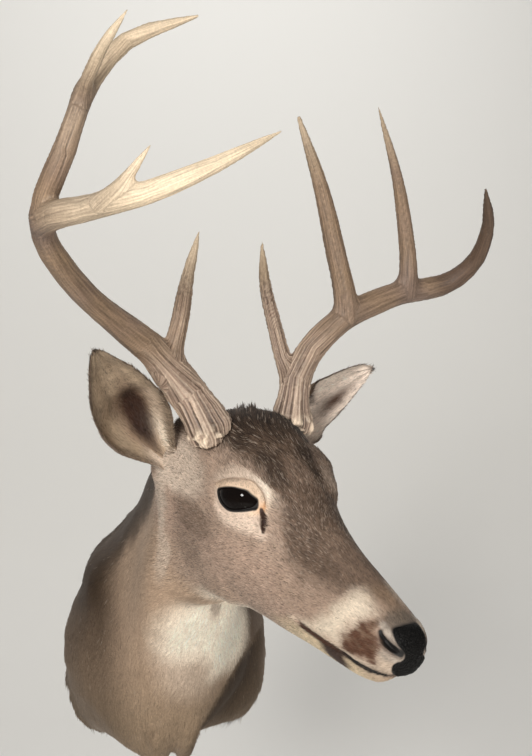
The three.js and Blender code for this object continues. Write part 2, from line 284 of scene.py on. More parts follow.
nostrilRim = {"line": [(279, 16.2, 2.8), (285.1, 17.1, 0.4), (290, 17.6, -2.5), (294.5, 16.5, -4.8),
                       (298.2, 14.1, -6.7), (300.7, 12, -9.3), (301.5, 11.7, -12.7), (300, 15.1, -16.1)],
              "width": 2.5, "rise": 1.5}
mouth = {"line": [(199, 35, -39), (209, 34, -40.5), (218.8, 31.6, -40.8), (232, 29, -40), (244, 28, -38.2),
                  (256, 26.6, -37.2), (266, 24.3, -37.4), (281, 21, -36.4), (292.3, 16.5, -34.8),
                  (297, 9, -34.5), (298.5, 0, -34.5)], "width": 2.0, "depth": 3.0, "taper": 0}
lipRim = {"line": [(238, 30, -37.5), (253.4, 27.2, -35.2), (263.8, 25.8, -34), (277.1, 24.2, -31.5),
                   (289.5, 21.6, -28.6), (296.8, 15, -28.7)], "width": 2.4, "rise": 0.8}
crest = {"line": [(138, 44, 2), (165, 41, -2), (190, 38, -12)], "width": 9, "rise": 1.6}
browRidge = {"line": [(88, 47, 51), (104, 44, 53), (120, 38, 50.5), (134, 33, 45), (146, 31, 37),
                      (152, 32, 30)], "width": 7, "rise": 3.0}
farBrow = {"line": [(98, 45, 47), (112, 45, 44), (124, 42, 42), (138, 35, 39), (152, 29, 34)],
           "width": 11, "rise": 4.4, "taper": 0.35, "side": 1}
lipHollow = {"line": [(255, 30, -22), (270, 29, -20), (283, 26, -16)],
             "width": 6, "depth": 0.8, "taper": 0.3}


def mirrored(points):  # both sides of the head brought to the left
    return points * np.array([1, 0, 1]) + np.abs(points) * np.array([0, 1, 0])


def eyeFrame(points):  # along the lids, up across them, and out of the head, from the eye's centre
    own = mirrored(points) - np.array(eye["centre"]) + np.outer(points[:, 1] > 0, (0, eye["leftIn"], 0))
    out = np.array(eye["out"])
    return own @ np.array([out[1], -out[0], 0]), own[:, 2], own @ out


def outlineDistance(x, y, corners):  # how far a point is outside a smooth closed outline, below 0 within
    table = [*corners, *corners[:2]]
    fine = np.arange(0, len(corners), 0.25)
    padded = np.array([corners[-1], *table], float)
    low = fine.astype(int)
    ring = curveThrough(padded, low, (fine - low)[:, None])
    spots = np.stack([x, y], axis=1)
    away = np.full(len(spots), np.inf)
    crossings = np.zeros(len(spots), int)
    for start, end in zip(ring, np.roll(ring, -1, axis=0)):
        way = end - start
        share = np.clip((spots - start) @ way / (way @ way), 0, 1)
        away = np.minimum(away, np.linalg.norm(spots - start - share[:, None] * way, axis=1))
        spans = (start[1] > y) != (end[1] > y)
        if start[1] != end[1]:
            crossings += spans & (x < start[0] + (y - start[1]) / (end[1] - start[1]) * way[0])
    return np.where(crossings % 2, -away, away)


def nearEye(points, outline, far=60.0):  # distance outside that outline where a point is near an eye
    along, up, out = eyeFrame(points)
    close = (out > 0) & (np.abs(points[:, 1]) > eye["apart"]) & (np.hypot(along, up) < eye["reach"])
    away = np.full(len(points), far)
    away[close] = outlineDistance(along[close], up[close], outline)
    return away


def lidDistance(points):
    return nearEye(points, lidOpening)


def bulge(along, up, wider):  # how far out an eyeball that much wider stands
    x = (along - eye["middle"]) / (eye["long"] + wider)
    z = up / (eye["radius"] + wider)
    return (eye["radius"] + wider) * np.sqrt(np.maximum(1 - x * x - z * z, 0))


def shapeLids(points):
    along, up, out = eyeFrame(points)
    away = lidDistance(points)
    lid = np.maximum(bulge(along, up, eye["lid"]), out - eye["corner"])
    fold = 1.3 * np.exp(-((away - 5.2) / 1.1) ** 2) * ramp(0, 6, up)
    fold += 0.7 * np.exp(-((away - 5.5) / 1.2) ** 2) * ramp(-2, -7, up)
    target = mix(lid, out, ramp(1, eye["blend"], away)) - fold
    inner = np.maximum(bulge(along, up, -eye["socket"]), out - eye["pit"])
    target = mix(inner, target, ramp(-1.1, 0.1, away))
    moved = np.where(away < 30, target - out, 0)
    push = moved[:, None] * np.array(eye["out"])
    push[:, 1] *= np.sign(points[:, 1])
    return points + push


def press(points, normals, feature):  # a groove, or a ridge where the feature rises
    away, along, _ = alongLine(mirrored(points), feature["line"])
    taper = feature.get("taper", 0.12)
    ends = ramp(-0.02, taper, along) * ramp(-0.02, taper, 1 - along) if taper else np.ones(len(points))
    if "side" in feature:
        ends = ends * (points[:, 1] * feature["side"] > 0)
    if "rise" in feature:
        rise = feature["rise"] * np.exp(-(away / feature["width"]) ** 2) * ends
        return points + normals * rise[:, None]
    width = feature["width"] * (0.35 + 0.65 * ends)
    hollow = 1 - ramp(0.5 * width, 1.15 * width, away)
    return points - normals * (feature["depth"] * hollow * ends)[:, None]


def onSurface(mesh, line, step=2.5):  # the line laid on the skin
    bm = bmesh.new()
    bm.from_mesh(mesh)
    tree = BVHTree.FromBMesh(bm)
    bm.free()
    line = np.array(line, float)
    laid = []
    for start, end in zip(line, line[1:]):
        pieces = max(1, round(np.linalg.norm(end - start) / step))
        laid += [start + (end - start) * number / pieces for number in range(pieces)]
    laid.append(line[-1])
    return toSkull(np.array([tree.find_nearest(Vector(spot))[0] for spot in fromSkull(laid)]))


flesh = ["chest", "neck", "head", "lower_jaw"]
skinShape = {"voxel": 3.8, "rounds": 16, "rear": -5.0, "headFrom": -6, "fine": 30, "blend": 130,
             "kept": 0.75}  # kept is the share of its triangles that stays once the hair is rooted
depths = {"body": 2.0, "crown": 3.4, "head": 1.4, "muzzle": 0.8, "pad": 0.3}
# Where the hide stands fuller: across and up, how far it reaches, and the rows between which it sets in.
flares = [
    {"at": (-98, -130), "reach": 44, "rise": 11, "rows": (-150, -50)},
    {"at": (-84, 60), "reach": 32, "rise": 11, "rows": (-265, -165)},
    {"at": (-30, 176), "reach": 24, "rise": 4, "rows": (-420, -370)},
    {"at": (98, -112), "reach": 38, "rise": 10, "rows": (-110, -30)},
]
# The edge where the throat stands out over the left shoulder: a place on it, the way beyond it and how
# deep it drops.
ledge = {"at": (99, -149, -5), "beyond": (0.837, -0.211, -0.506), "drop": 14}
# Flesh the solids leave out, in the skull's frame: where, how far it reaches and how it is turned.
fillers = [
    {"at": (115, 53, 27), "size": (19, 11, 11), "turn": 24},
    {"at": (72, 24, -72), "size": (50, 19, 29), "turn": 0},
    {"at": (28, 12, -92), "size": (48, 32, 48), "turn": 0},
    {"at": (4, 36, 31), "size": (26, 17, 22), "turn": 0},
    {"at": (14, 52, 10), "size": (22, 15, 21), "turn": 0},
    {"at": (2, 57, 2), "size": (24, 15, 20), "turn": 0},
]


def fillSockets(bm):
    for name in ("nose_pad", "eye_right", "eye_left", "backboard"):
        bm.from_mesh(nodes[name].data)
    for side in sides.values():
        for filler in fillers:
            ball = bmesh.ops.create_icosphere(bm, subdivisions=4, radius=1)["verts"]
            bmesh.ops.scale(bm, verts=ball, vec=[size * mm for size in filler["size"]])
            turn = Matrix.Rotation(math.radians(-side * filler["turn"]), 3, "Z")
            turn = Matrix(axes.tolist()).transposed() @ turn
            bmesh.ops.rotate(bm, verts=ball, matrix=turn, cent=(0, 0, 0))
            x, y, z = filler["at"]
            bmesh.ops.translate(bm, verts=ball, vec=fromSkull((x, side * y, z)))


def coatDepth(points):  # how far the skin lies inside the tips of the coat, in millimetres
    own = toSkull(points)
    head = ramp(-50, 30, own[:, 0])
    crown = np.exp(-((own[:, 0] - 50) / 34) ** 2 - (own[:, 1] / 38) ** 2) * ramp(30, 60, own[:, 2])
    muzzle = ramp(170, 240, own[:, 0])
    depth = mix(depths["body"], depths["head"], head)
    depth = mix(depth, depths["crown"], crown)
    depth = mix(depth, depths["muzzle"], muzzle)
    return mix(depth, depths["pad"], padShare(own))


def padDistance(points):  # millimetres outside the bare nose, below 0 on it
    away = np.full(len(points), pad["far"])
    close = points[:, 0] > pad["near"]
    away[close] = outlineDistance(points[close, 1], points[close, 2], padOutline)
    return np.where(close, np.maximum(away, pad["front"] - points[:, 0]), pad["far"])


def padShare(points):  # 1 on the bare nose
    return 1 - ramp(-0.5, 0.7, padDistance(points))


def makeSkin():
    mesh = unionOf(flesh, skinShape["voxel"], skinShape["rounds"], fillSockets)
    points, edges = pointsOf(mesh), edgesOf(mesh)
    own = toSkull(points)
    join = ramp(-140, -70, own[:, 0]) * ramp(125, 70, own[:, 0]) * ramp(60, 15, own[:, 2])
    points = relax(points, edges, 0.5 * join, skinShape["blend"])
    own = toSkull(points)
    own[:, 0] -= 0.5 * np.maximum(own[:, 0] - 280, 0) * ramp(-35, -40, own[:, 2])
    setPoints(mesh, fromSkull(own))
    mesh = refined(mesh, toSkull(faceCentres(mesh))[:, 0] > skinShape["headFrom"])
    points, edges = pointsOf(mesh), edgesOf(mesh)
    points = relax(points, edges, 0.5 * ramp(-12, 0, toSkull(points)[:, 0]), 3)
    setPoints(mesh, points)
    rear = ramp(-24, -8, points[:, 1] / mm)
    depth = coatDepth(points) * (1 - rear * ramp(0.4, 0.8, normalsOf(mesh)[:, 1]))
    points = points - normalsOf(mesh) * (depth * mm)[:, None]
    for flare in flares:
        away = np.linalg.norm(points[:, [0, 2]] / mm - np.array(flare["at"]), axis=1)
        rise = flare["rise"] * np.exp(-(away / flare["reach"]) ** 2)
        rise = rise * ramp(*flare["rows"], points[:, 1] / mm)
        points = points + normalsOf(mesh) * (rise * mm)[:, None]
    points = dropLedge(points, normalsOf(mesh))
    points = foldBrisket(points, normalsOf(mesh))
    points[:, 1] = np.minimum(points[:, 1], skinShape["rear"] * mm)
    setPoints(mesh, points)
    for feature in (tearSlit, nostril, nostrilRim, mouth, lipRim, lipHollow, crest, browRidge, farBrow):
        feature["line"] = onSurface(mesh, feature["line"])
    own = toSkull(faceCentres(mesh))
    left = mirrored(own)
    nearLids = np.linalg.norm(left - np.array([119, 50, 24]), axis=1) < skinShape["fine"]
    nearSlit = alongLine(left, tearSlit["line"])[0] < 9
    nearMouth = alongLine(left, mouth["line"])[0] < 6
    nearNose = (own[:, 0] > 268) & (own[:, 2] > -40)
    mesh = refined(mesh, nearLids | nearSlit | nearMouth | nearNose)
    points, edges = pointsOf(mesh), edgesOf(mesh)
    points = relax(points, edges, 0.5 * ramp(0, 10, toSkull(points)[:, 0]), 2)
    setPoints(mesh, points)
    own = toSkull(faceCentres(mesh))
    left = mirrored(own)
    mesh = refined(mesh, (np.abs(lidDistance(own)) < 3) | (alongLine(left, nostril["line"])[0] < 6))
    return mesh


# The hide's seam under the chest and the fold over it, in the row frame, millimetres.
brisket = {"seam": [(2, -236, -84), (2, -224, -104), (3, -207, -124), (2, -170, -146), (0, -100, -160),
                    (-3, -30, -163)],
           "fold": [(-24, -226, -98), (-8, -232, -97), (9, -231, -97), (26, -222, -100)],
           "depth": 7.5, "width": 5, "lobe": 5, "foldDepth": 6, "foldWidth": 4.5, "wrinkle": 1.5}


def pastLedge(places):  # millimetres beyond the edge over the far shoulder, and how much of it there is
    past = (places - np.array(ledge["at"])) @ np.array(ledge["beyond"])
    x, y, z = places.T
    return past, ramp(12, 42, x) * ramp(125, 60, z) * ramp(-280, -245, y) * ramp(-30, -110, y)


def dropLedge(points, normals):
    past, share = pastLedge(points / mm)
    drop = ledge["drop"] * ramp(-1, 8, past) * ramp(78, 14, past) * share
    return points - normals * (drop * mm)[:, None]


def foldBrisket(points, normals):  # a seam under the chest, a lobe on either side and wrinkles
    away, along, _ = alongLine(points / mm, brisket["seam"])
    ends = ramp(0, 0.15, along)
    rise = brisket["lobe"] * np.exp(-((away - 20) / 11) ** 2)
    rise = rise - brisket["depth"] * np.exp(-(away / brisket["width"]) ** 2)
    wave = away / 4.2 + 9 * along + 3 * waver(points / mm, 40, 21)
    rise = rise + brisket["wrinkle"] * np.sin(wave) * np.exp(-((away - 22) / 16) ** 2)
    fold, share, _ = alongLine(points / mm, brisket["fold"])
    crease = brisket["foldDepth"] * np.exp(-(fold / brisket["foldWidth"]) ** 2)
    rise = rise * ends - crease * np.sin(share * math.pi)
    return points + normals * (rise * mm)[:, None]


def shapeFace(mesh):
    own = toSkull(pointsOf(mesh))
    for feature in (crest, browRidge, farBrow, lipHollow):
        own = press(own, normalsOf(mesh) @ axes.T, feature)
    own = shapeLids(own)
    setPoints(mesh, fromSkull(own))
    for feature in (nostrilRim, lipRim):
        own = press(own, normalsOf(mesh) @ axes.T, feature)
    normals = normalsOf(mesh) @ axes.T
    for feature in (tearSlit, nostril, mouth):
        own = press(own, normals, feature)
    setPoints(mesh, fromSkull(own))


# Widths and the cup's half arc run from base to tip; lean widens the outer or inner edge's arc.
ears = {
    "right": {"base": (19, -50, 7), "tip": (33, -155, 133), "facing": (169, -98, 53),
              "bow": -3.4, "lean": 0.92,
              "halfWidths": [7.5, 14, 22.5, 30.5, 33.2, 32, 28.2, 22.2, 17.2, 13.6],
              "wraps": [60, 127, 122, 114, 107, 77, 70, 76, 61, 40]},
    "left": {"base": (31, 42, 24), "tip": (1, 179, 83), "facing": (133, 130, 80),
             "bow": 7, "lean": 0.83,
             "halfWidths": [12, 16.5, 22.5, 28.5, 31.5, 30.5, 27, 23, 20.5, 18.5],
             "wraps": [58, 126, 140, 117, 107, 65, 67, 62, 60, 45]},
}
earShape = {"wall": 2.6, "inset": 0.9, "around": 72, "along": 52, "ridge": 0.8, "blunt": 0.7}


def earAxes(side):  # from base to tip, the way the ear opens, and across it
    foot, tip, facing = (np.array(ears[side][key], float) for key in ("base", "tip", "facing"))
    long = unit(tip - foot)
    opening = facing - foot
    opening = unit(opening - long * (opening @ long))
    return foot, tip - foot, opening, np.cross(long, opening)


def makeEar(side):
    settings, sign = ears[side], sides[side]
    foot, axis, opening, across = earAxes(side)
    bm = bmesh.new()
    bmesh.ops.create_grid(bm, x_segments=earShape["around"], y_segments=earShape["along"], size=0.5)
    spots = np.array([vert.co for vert in bm.verts]) + 0.5
    turn, along = np.mod(np.round(spots[:, 0], 6), 1.0), np.sin(spots[:, 1] * math.pi / 2)
    blunt = 1 - np.clip((along - earShape["blunt"]) / (1 - earShape["blunt"]), 0, 1) ** 2
    half = np.maximum(smoothTable(settings["halfWidths"], along) - earShape["inset"], 1) * np.sqrt(blunt)
    wrap = np.radians(smoothTable(settings["wraps"], along))
    radius = half / np.sin(np.minimum(wrap, math.pi / 2))
    wall = np.minimum(earShape["wall"], half * 0.7)
    within = np.where(turn < 0.5, turn * 2, 2 - turn * 2)
    outer = turn < 0.5
    angle = (within * 2 - 1) * wrap
    angle = np.where(angle > 0, angle * settings["lean"], angle)
    edge = np.sqrt(np.clip(np.sin(within * math.pi), 0, 1))
    ribs = earShape["ridge"] * np.cos(within * math.pi * 7) * edge ** 2 * ramp(0.1, 0.4, along)
    far = np.where(outer, radius - 0.3 * wall * (1 - edge), radius - wall * (0.3 + 0.7 * edge) - ribs)
    centre = foot + along[:, None] * axis + (settings["bow"] * np.sin(along * math.pi))[:, None] * across
    centre = centre + (radius * (0.5 + 0.5 * np.cos(wrap)) - half * 0.6)[:, None] * opening
    placed = centre - (far * np.cos(angle))[:, None] * opening + (far * np.sin(angle))[:, None] * across
    spotLayer = bm.verts.layers.float_vector.new("earSpot")
    shares = np.stack([along, (within * 2 - 1) * sign, np.where(outer, 1, 2)], axis=1)
    for vert, place, share in zip(bm.verts, fromSkull(placed), shares):
        vert.co = place
        vert[spotLayer] = share
    bmesh.ops.remove_doubles(bm, verts=bm.verts, dist=0.05 * mm)
    rims = [edge for edge in bm.edges if edge.is_boundary]
    bmesh.ops.holes_fill(bm, edges=rims, sides=0)
    bmesh.ops.recalc_face_normals(bm, faces=bm.faces)
    if bm.calc_volume(signed=True) < 0:
        bmesh.ops.reverse_faces(bm, faces=bm.faces)
    mesh = meshOf(bm, f"ear_{side}")
    setVectors(mesh, "rest", pointsOf(mesh))
    return mesh


def joinMeshes(meshes):
    made = [objectOf(mesh, "part") for mesh in meshes]
    with bpy.context.temp_override(active_object=made[0], selected_editable_objects=made):
        bpy.ops.object.join()
    mesh = made[0].data.copy()
    bpy.data.objects.remove(made[0])
    return mesh


unwrapping = {"angle": 66, "margin": 0.002}


def unwrap(mesh, name):
    made = objectOf(mesh, "unwrapped")
    mesh.uv_layers.new(name=name)
    bpy.context.view_layer.objects.active = made
    made.select_set(True)
    bpy.ops.object.mode_set(mode="EDIT")
    bpy.ops.mesh.select_all(action="SELECT")
    bpy.ops.uv.smart_project(angle_limit=math.radians(unwrapping["angle"]),
                             island_margin=unwrapping["margin"])
    bpy.ops.object.mode_set(mode="OBJECT")
    mesh = made.data.copy()
    bpy.data.objects.remove(made)
    return mesh


# Markings, with painted shade in places: one set of colours for the skin and the coat.
tones = {
    "taupe": linear(160, 138, 121), "pinkTaupe": linear(178, 152, 134), "neck": linear(175, 150, 127),
    "lowNeck": linear(135, 116, 95), "nape": linear(66, 51, 37), "dark": linear(54, 41, 31),
    "forehead": linear(90, 73, 60), "bridge": linear(120, 100, 85), "cream": linear(246, 232, 212),
    "white": linear(208, 187, 169), "buff": linear(214, 184, 154), "brown": linear(92, 62, 46),
    "lip": linear(179, 161, 143), "muzzle": linear(208, 193, 173), "slate": linear(84, 78, 70),
    "yellow": linear(214, 194, 162), "black": linear(20, 17, 15), "grey": linear(172, 160, 147),
    "earInside": linear(166, 146, 123), "earRoll": linear(168, 149, 130), "earPale": linear(230, 213, 198),
    "earRim": linear(64, 50, 40), "earBack": linear(138, 116, 96), "hide": linear(178, 150, 116),
    "tan": linear(130, 108, 88), "rust": linear(186, 136, 92), "umber": linear(52, 32, 22),
    "softTaupe": linear(152, 130, 113), "paleTaupe": linear(198, 181, 164), "darkUnderJaw": linear(138, 120, 106),
    "wine": linear(74, 42, 26),
}
# A patch: where it is, how far it reaches along each axis, its colour and how strongly it covers.
facePatches = [
    {"at": (150, 42, -34), "size": (85, 40, 32), "tone": "pinkTaupe", "cover": 0.8},
    {"at": (16, 62, -18), "size": (40, 36, 46), "tone": "pinkTaupe", "cover": 0.75},
    {"at": (34, 56, 18), "size": (42, 22, 24), "tone": "paleTaupe", "cover": 0.9},
    # This patch and the next: painted light on the ridge that runs down from the ear base.
    {"at": (14, 57, -20), "size": (10, 18, 44), "tone": "paleTaupe", "cover": 0.8},
    {"at": (17, 40, -78), "size": (9, 18, 36), "tone": "paleTaupe", "cover": 0.6},
    {"at": (68, 62, -16), "size": (32, 18, 19), "tone": "bridge", "cover": 0.75},
    {"at": (54, 50, -46), "size": (20, 20, 30), "tone": "bridge", "cover": 0.45},
    {"at": (212, 36, -12), "size": (36, 20, 22), "tone": "softTaupe", "cover": 0.85},
    {"at": (150, 6, -98), "size": (95, 40, 22), "tone": "cream", "cover": 0.9},
    {"at": (240, 16, -62), "size": (64, 34, 23), "tone": "yellow", "cover": 0.95},
]
throatPatches = [
    {"at": (36, -290, -14), "size": (56, 66, 62), "tone": "paleTaupe", "cover": 0.6},
    {"at": (36, -318, 26), "size": (53, 72, 46), "tone": "cream", "cover": 1.0},
    {"at": (66, -232, 2), "size": (36, 62, 40), "tone": "cream", "cover": 1.0},
    # A darker patch on the throat just under the jaw.
    {"at": (40, -322, 46), "size": (7, 16, 26), "tone": "darkUnderJaw", "cover": 0.65},
]
# The dark cap runs from the crown down the nose: lengths along the face, and its edge's width and height.
darkCap = {"along": [-40, 0, 30, 72, 100, 116, 140, 156, 177, 200, 222, 240, 262, 278],
           "wide": [34, 45, 48, 50, 42, 34, 31, 31, 36, 34, 29, 22, 15, 12],
           "high": [34, 36, 48, 62, 58, 53, 40, 27, 8, 0, 2, 8, 10, 8], "soft": 11}
capPatches = [
    {"at": (50, 0, 76), "size": (46, 46, 26), "tone": "dark", "cover": 0.95},
    {"at": (4, 30, 44), "size": (26, 26, 22), "tone": "dark", "cover": 1.0},
    {"at": (122, 22, 56), "size": (22, 13, 14), "tone": "dark", "cover": 1.0},
    {"at": (82, 35, 64), "size": (18, 12, 11), "tone": "dark", "cover": 0.85},
    {"at": (133, 0, 56), "size": (18, 14, 12), "tone": "bridge", "cover": 0.7},
    {"at": (216, 0, 22), "size": (40, 16, 16), "tone": "bridge", "cover": 0.5},
    {"at": (268, 0, 12), "size": (22, 16, 13), "tone": "tan", "cover": 0.8},
]
# Seen from the side: length along the face and height.
muzzleBand = [(196, -39), (213, -31), (226, -18), (234, -4), (240, 8), (246, 17), (256, 15), (266, 9),
              (271, 5), (266, -2), (258, -14), (253, -24), (251, -33), (236, -36.5), (218, -40)]
nosePatch = [(253, -24), (256, -18), (262, -11), (266, -4), (270, 2), (275, 3), (279, -3), (284, -9),
             (287, -15), (288, -22), (287, -26), (279, -29), (265, -32), (257, -32)]
lipPatch = [(288, -13), (295, -14.5), (299, -20), (300, -27), (293, -30), (288, -28), (287.5, -20)]
# Where the neck turns away on the right it darkens, partly its own darker hair, partly painted shade:
# a place in the plane of that edge, the way beyond it and how soft it is.
napeEdge = {"at": (-45, -1405, 280), "beyond": (-0.843, 0.064, 0.534), "soft": (-24, -8)}


def patchShare(points, patch, edge=0.35):
    far = np.linalg.norm((points - np.array(patch["at"])) / np.array(patch["size"]), axis=1)
    return patch["cover"] * (1 - ramp(1 - edge, 1 + edge, far))


def bodyColours(points):
    own = toSkull(points)
    left = mirrored(own)
    blotch = waver(points / mm, 24, 5) - 0.5
    rough = waver(points / mm, 6, 6) - 0.5
    shift = (rough * 7 + blotch * 8)[:, None]
    x, y, z = points.T / mm
    nape = 250 - 0.35 * (y + 360)  # height of the nape and of the throat at this y
    throat = np.interp(y, [-320, -230, -180, -100, 0], [20, -80, -140, -160, -160])
    height = np.clip((z - throat) / np.maximum(nape - throat, 1), 0, 1)
    colour = tint(tones["neck"], tones["lowNeck"], ramp(40, -110, z))
    colour = tint(colour, tones["nape"], ramp(0.55, 0.80, height + 0.1 * blotch))
    # Darker neck sides and shoulders: partly their own darker hair, partly painted shade as they turn away.
    flankHairAndShade = ramp(42, 80, np.abs(x - 2) + 8 * blotch) * mix(0.4, 1.0, ramp(-100, 60, z))
    colour = tint(colour, tones["nape"], 0.97 * flankHairAndShade * ramp(-310, -220, y))
    turned = (points / mm - np.array(napeEdge["at"])) @ np.array(napeEdge["beyond"])
    turned = turned + 5 * blotch + 3 * rough
    # Partly the nape's darker hair, partly painted shade along the outline where the neck turns away.
    napeHairAndShade = ramp(*napeEdge["soft"], turned) * ramp(20, -6, x) * ramp(-350, -325, y)
    colour = tint(colour, tones["nape"], 0.9 * (napeHairAndShade * ramp(10, 50, z) * ramp(215, 185, z)))
    for patch in throatPatches:
        colour = tint(colour, tones[patch["tone"]], patchShare(points / mm + shift, patch, 0.4))
    past, share = pastLedge(points / mm)
    shadow = 0.9 * np.sqrt(share) * ramp(-2, 5, past + 3 * rough) * mix(0.28, 1.0, ramp(95, 22, past))
    colour = tint(colour, tones["nape"] * 0.8, shadow)
    # Painted shade: umber darkening along the brisket's seam and fold.
    crease = np.minimum(*(alongLine(points / mm, brisket[key])[0] for key in ("seam", "fold")))
    colour = tint(colour, tones["umber"], 0.7 * np.exp(-(crease / 4) ** 2))
    face = ramp(-30, 40, own[:, 0] + 0.25 * (own[:, 2] + 10)) * ramp(-112, -84, own[:, 2])
    colour = tint(colour, tones["taupe"], face)
    for patch in facePatches:
        colour = tint(colour, tones[patch["tone"]], patchShare(left + shift, patch))
    rise = left[:, 2] - np.interp(left[:, 0], darkCap["along"], darkCap["high"])
    inward = np.interp(left[:, 0], darkCap["along"], darkCap["wide"]) - left[:, 1]
    edge = (rise + inward) * 0.7 + 10 * rough + 6 * blotch
    cap = ramp(-darkCap["soft"], darkCap["soft"], edge) * ramp(-60, -20, left[:, 0])
    dark = np.broadcast_to(tones["forehead"], colour.shape)
    for patch in capPatches:
        dark = tint(dark, tones[patch["tone"]], patchShare(left + shift, patch))
    colour = tint(colour, dark, 0.95 * cap)
    colour = muzzleColours(colour, own, left, rough)
    colour = eyeColours(colour, own, left, rough)
    fine = waver(points / mm, 2.4, 16) - 0.5
    mottle = 0.10 * blotch + (0.20 * rough + mix(0.22, 0.65, cap) * fine) * ramp(-20, 60, own[:, 0])
    return tint(colour * (1 + mottle)[:, None], tones["hide"], ramp(-7.5, -5.5, y))


def muzzleColours(colour, own, left, rough):
    x, y, z = left.T
    loose = rough * 6
    band = outlineDistance(x, z, muzzleBand) + loose
    colour = tint(colour, tones["muzzle"], (1 - ramp(-12, 6, band)) * ramp(4, 17, y + loose))
    streak = waver(left * np.array([0.35, 1, 1]), 2.2, 19) - 0.5
    patch = outlineDistance(x, z, nosePatch) + 1.5 * loose + 8 * streak
    rust = tint(tones["brown"] * 0.9, tones["tan"], np.clip(ramp(-14, 2, z) * 0.4 + 1.1 * streak, 0, 1))
    colour = tint(colour, rust, (1 - ramp(-4.5, 4.5, patch)) * ramp(5, 13, y))
    lips = outlineDistance(x, z, lipPatch)
    colour = tint(colour, tones["lip"], (1 - ramp(-2, 3, lips)) * ramp(8, 12, y))
    rim = alongLine(left, nostrilRim["line"])[0]
    colour = tint(colour, tones["grey"], 0.9 * (1 - ramp(2.2, 4.5, rim)))
    # Darker grey under the nostril's rim: painted shade beneath the wing.
    under = {"at": (294, 19, -14), "size": (7, 7, 5), "cover": 0.7}
    colour = tint(colour, tones["grey"] * 0.7, patchShare(left, under, 0.5))
    lip, along, _ = alongLine(left, lipRim["line"])
    colour = tint(colour, tones["lip"], (1 - ramp(1.2, 3.0, lip)) * ramp(0.05, 0.3, along))
    spot = {"at": (243, 24, -49), "size": (15, 20, 17), "cover": 1.0}
    spotted = patchShare(left + loose[:, None], spot, 0.35) * ramp(-37, -40, z)
    colour = tint(colour, tones["brown"] * 0.38, spotted)
    seam, along, _ = alongLine(left, mouth["line"])
    edge = 0.85 * (1 - ramp(2.2, 6.0, seam)) * ramp(0.9, 0.5, along) * ramp(0.02, 0.15, along)
    colour = tint(colour, tones["umber"], edge * ramp(-35, -39, z + 0.4 * loose))
    ink = tint(tones["brown"] * 0.5, tones["black"] * 1.4, ramp(0.35, 0.6, along))
    colour = tint(colour, ink, (1 - ramp(1.8, 3.6, seam + 0.3 * loose)) * ramp(0.0, 0.08, along))
    hole, along, _ = alongLine(left, nostril["line"])
    wide = mix(1.5, 2.9, ramp(0, 0.5, along))
    colour = tint(colour, tones["umber"] * 0.8, 0.6 * (1 - ramp(1.2 * wide, 2.2 * wide, hole)))
    colour = tint(colour, tones["black"], 1 - ramp(0.8 * wide, 1.3 * wide, hole))
    fuzz = ramp(9, 0, padDistance(own) + loose) * ramp(-2, 4, z)
    colour = tint(colour, tones["slate"], 0.75 * fuzz)
    return tint(colour, tones["black"] * 0.7, padShare(own))


def eyeColours(colour, own, left, rough):
    away, ringAway = lidDistance(own), nearEye(own, paleRing) + rough * 3
    along, up, _ = eyeFrame(own)
    low = ramp(4, -6, up)
    halo = 0.55 * (1 - ramp(0, 12, ringAway)) * ramp(0, 10, up)
    colour = tint(colour, tones["paleTaupe"], halo)
    colour = tint(colour, tint(tones["paleTaupe"], tones["white"], low), 0.9 * (1 - ramp(-5, 3, ringAway)))
    glint = 0.45 * np.exp(-((away - 9.5) / 2.5) ** 2) * ramp(8, 16, along) * ramp(-8, 0, up)
    colour = tint(colour, tones["cream"], glint)
    upper = ramp(-1, 4, up)
    lid = 0.6 * (1 - ramp(2.5, 6.5, away)) * np.maximum(upper, ramp(14, 20, along))
    colour = tint(colour, tones["buff"], lid)
    # A tan line in the fold above the lid: painted shade in the crease.
    colour = tint(colour, tones["tan"], 0.7 * np.exp(-((away - 5.4) / 1.0) ** 2) * upper)
    corner = np.exp(-((along - 27) / 4.5) ** 2 - ((up - 1.5) / 5) ** 2)
    colour = tint(colour, tones["rust"], 0.85 * corner * (away < 30))
    colour = tint(colour, tones["black"], 1 - ramp(0.5, 1.5, away))
    slit, share, _ = alongLine(left, tearSlit["line"])
    wide = tearSlit["width"] * (0.45 + 0.55 * np.sin(np.clip(share, 0, 1) * math.pi))
    colour = tint(colour, tones["umber"], 1 - ramp(0.75 * wide, 1.05 * wide, slit))
    # Painted shade: the far (left) eye's brow is darkened on that side only.
    farBrowShade = {"at": (124, 44, 44), "size": (42, 20, 16), "cover": 0.9}
    return tint(colour, tones["bridge"] * 0.8, patchShare(own, farBrowShade, 0.4))


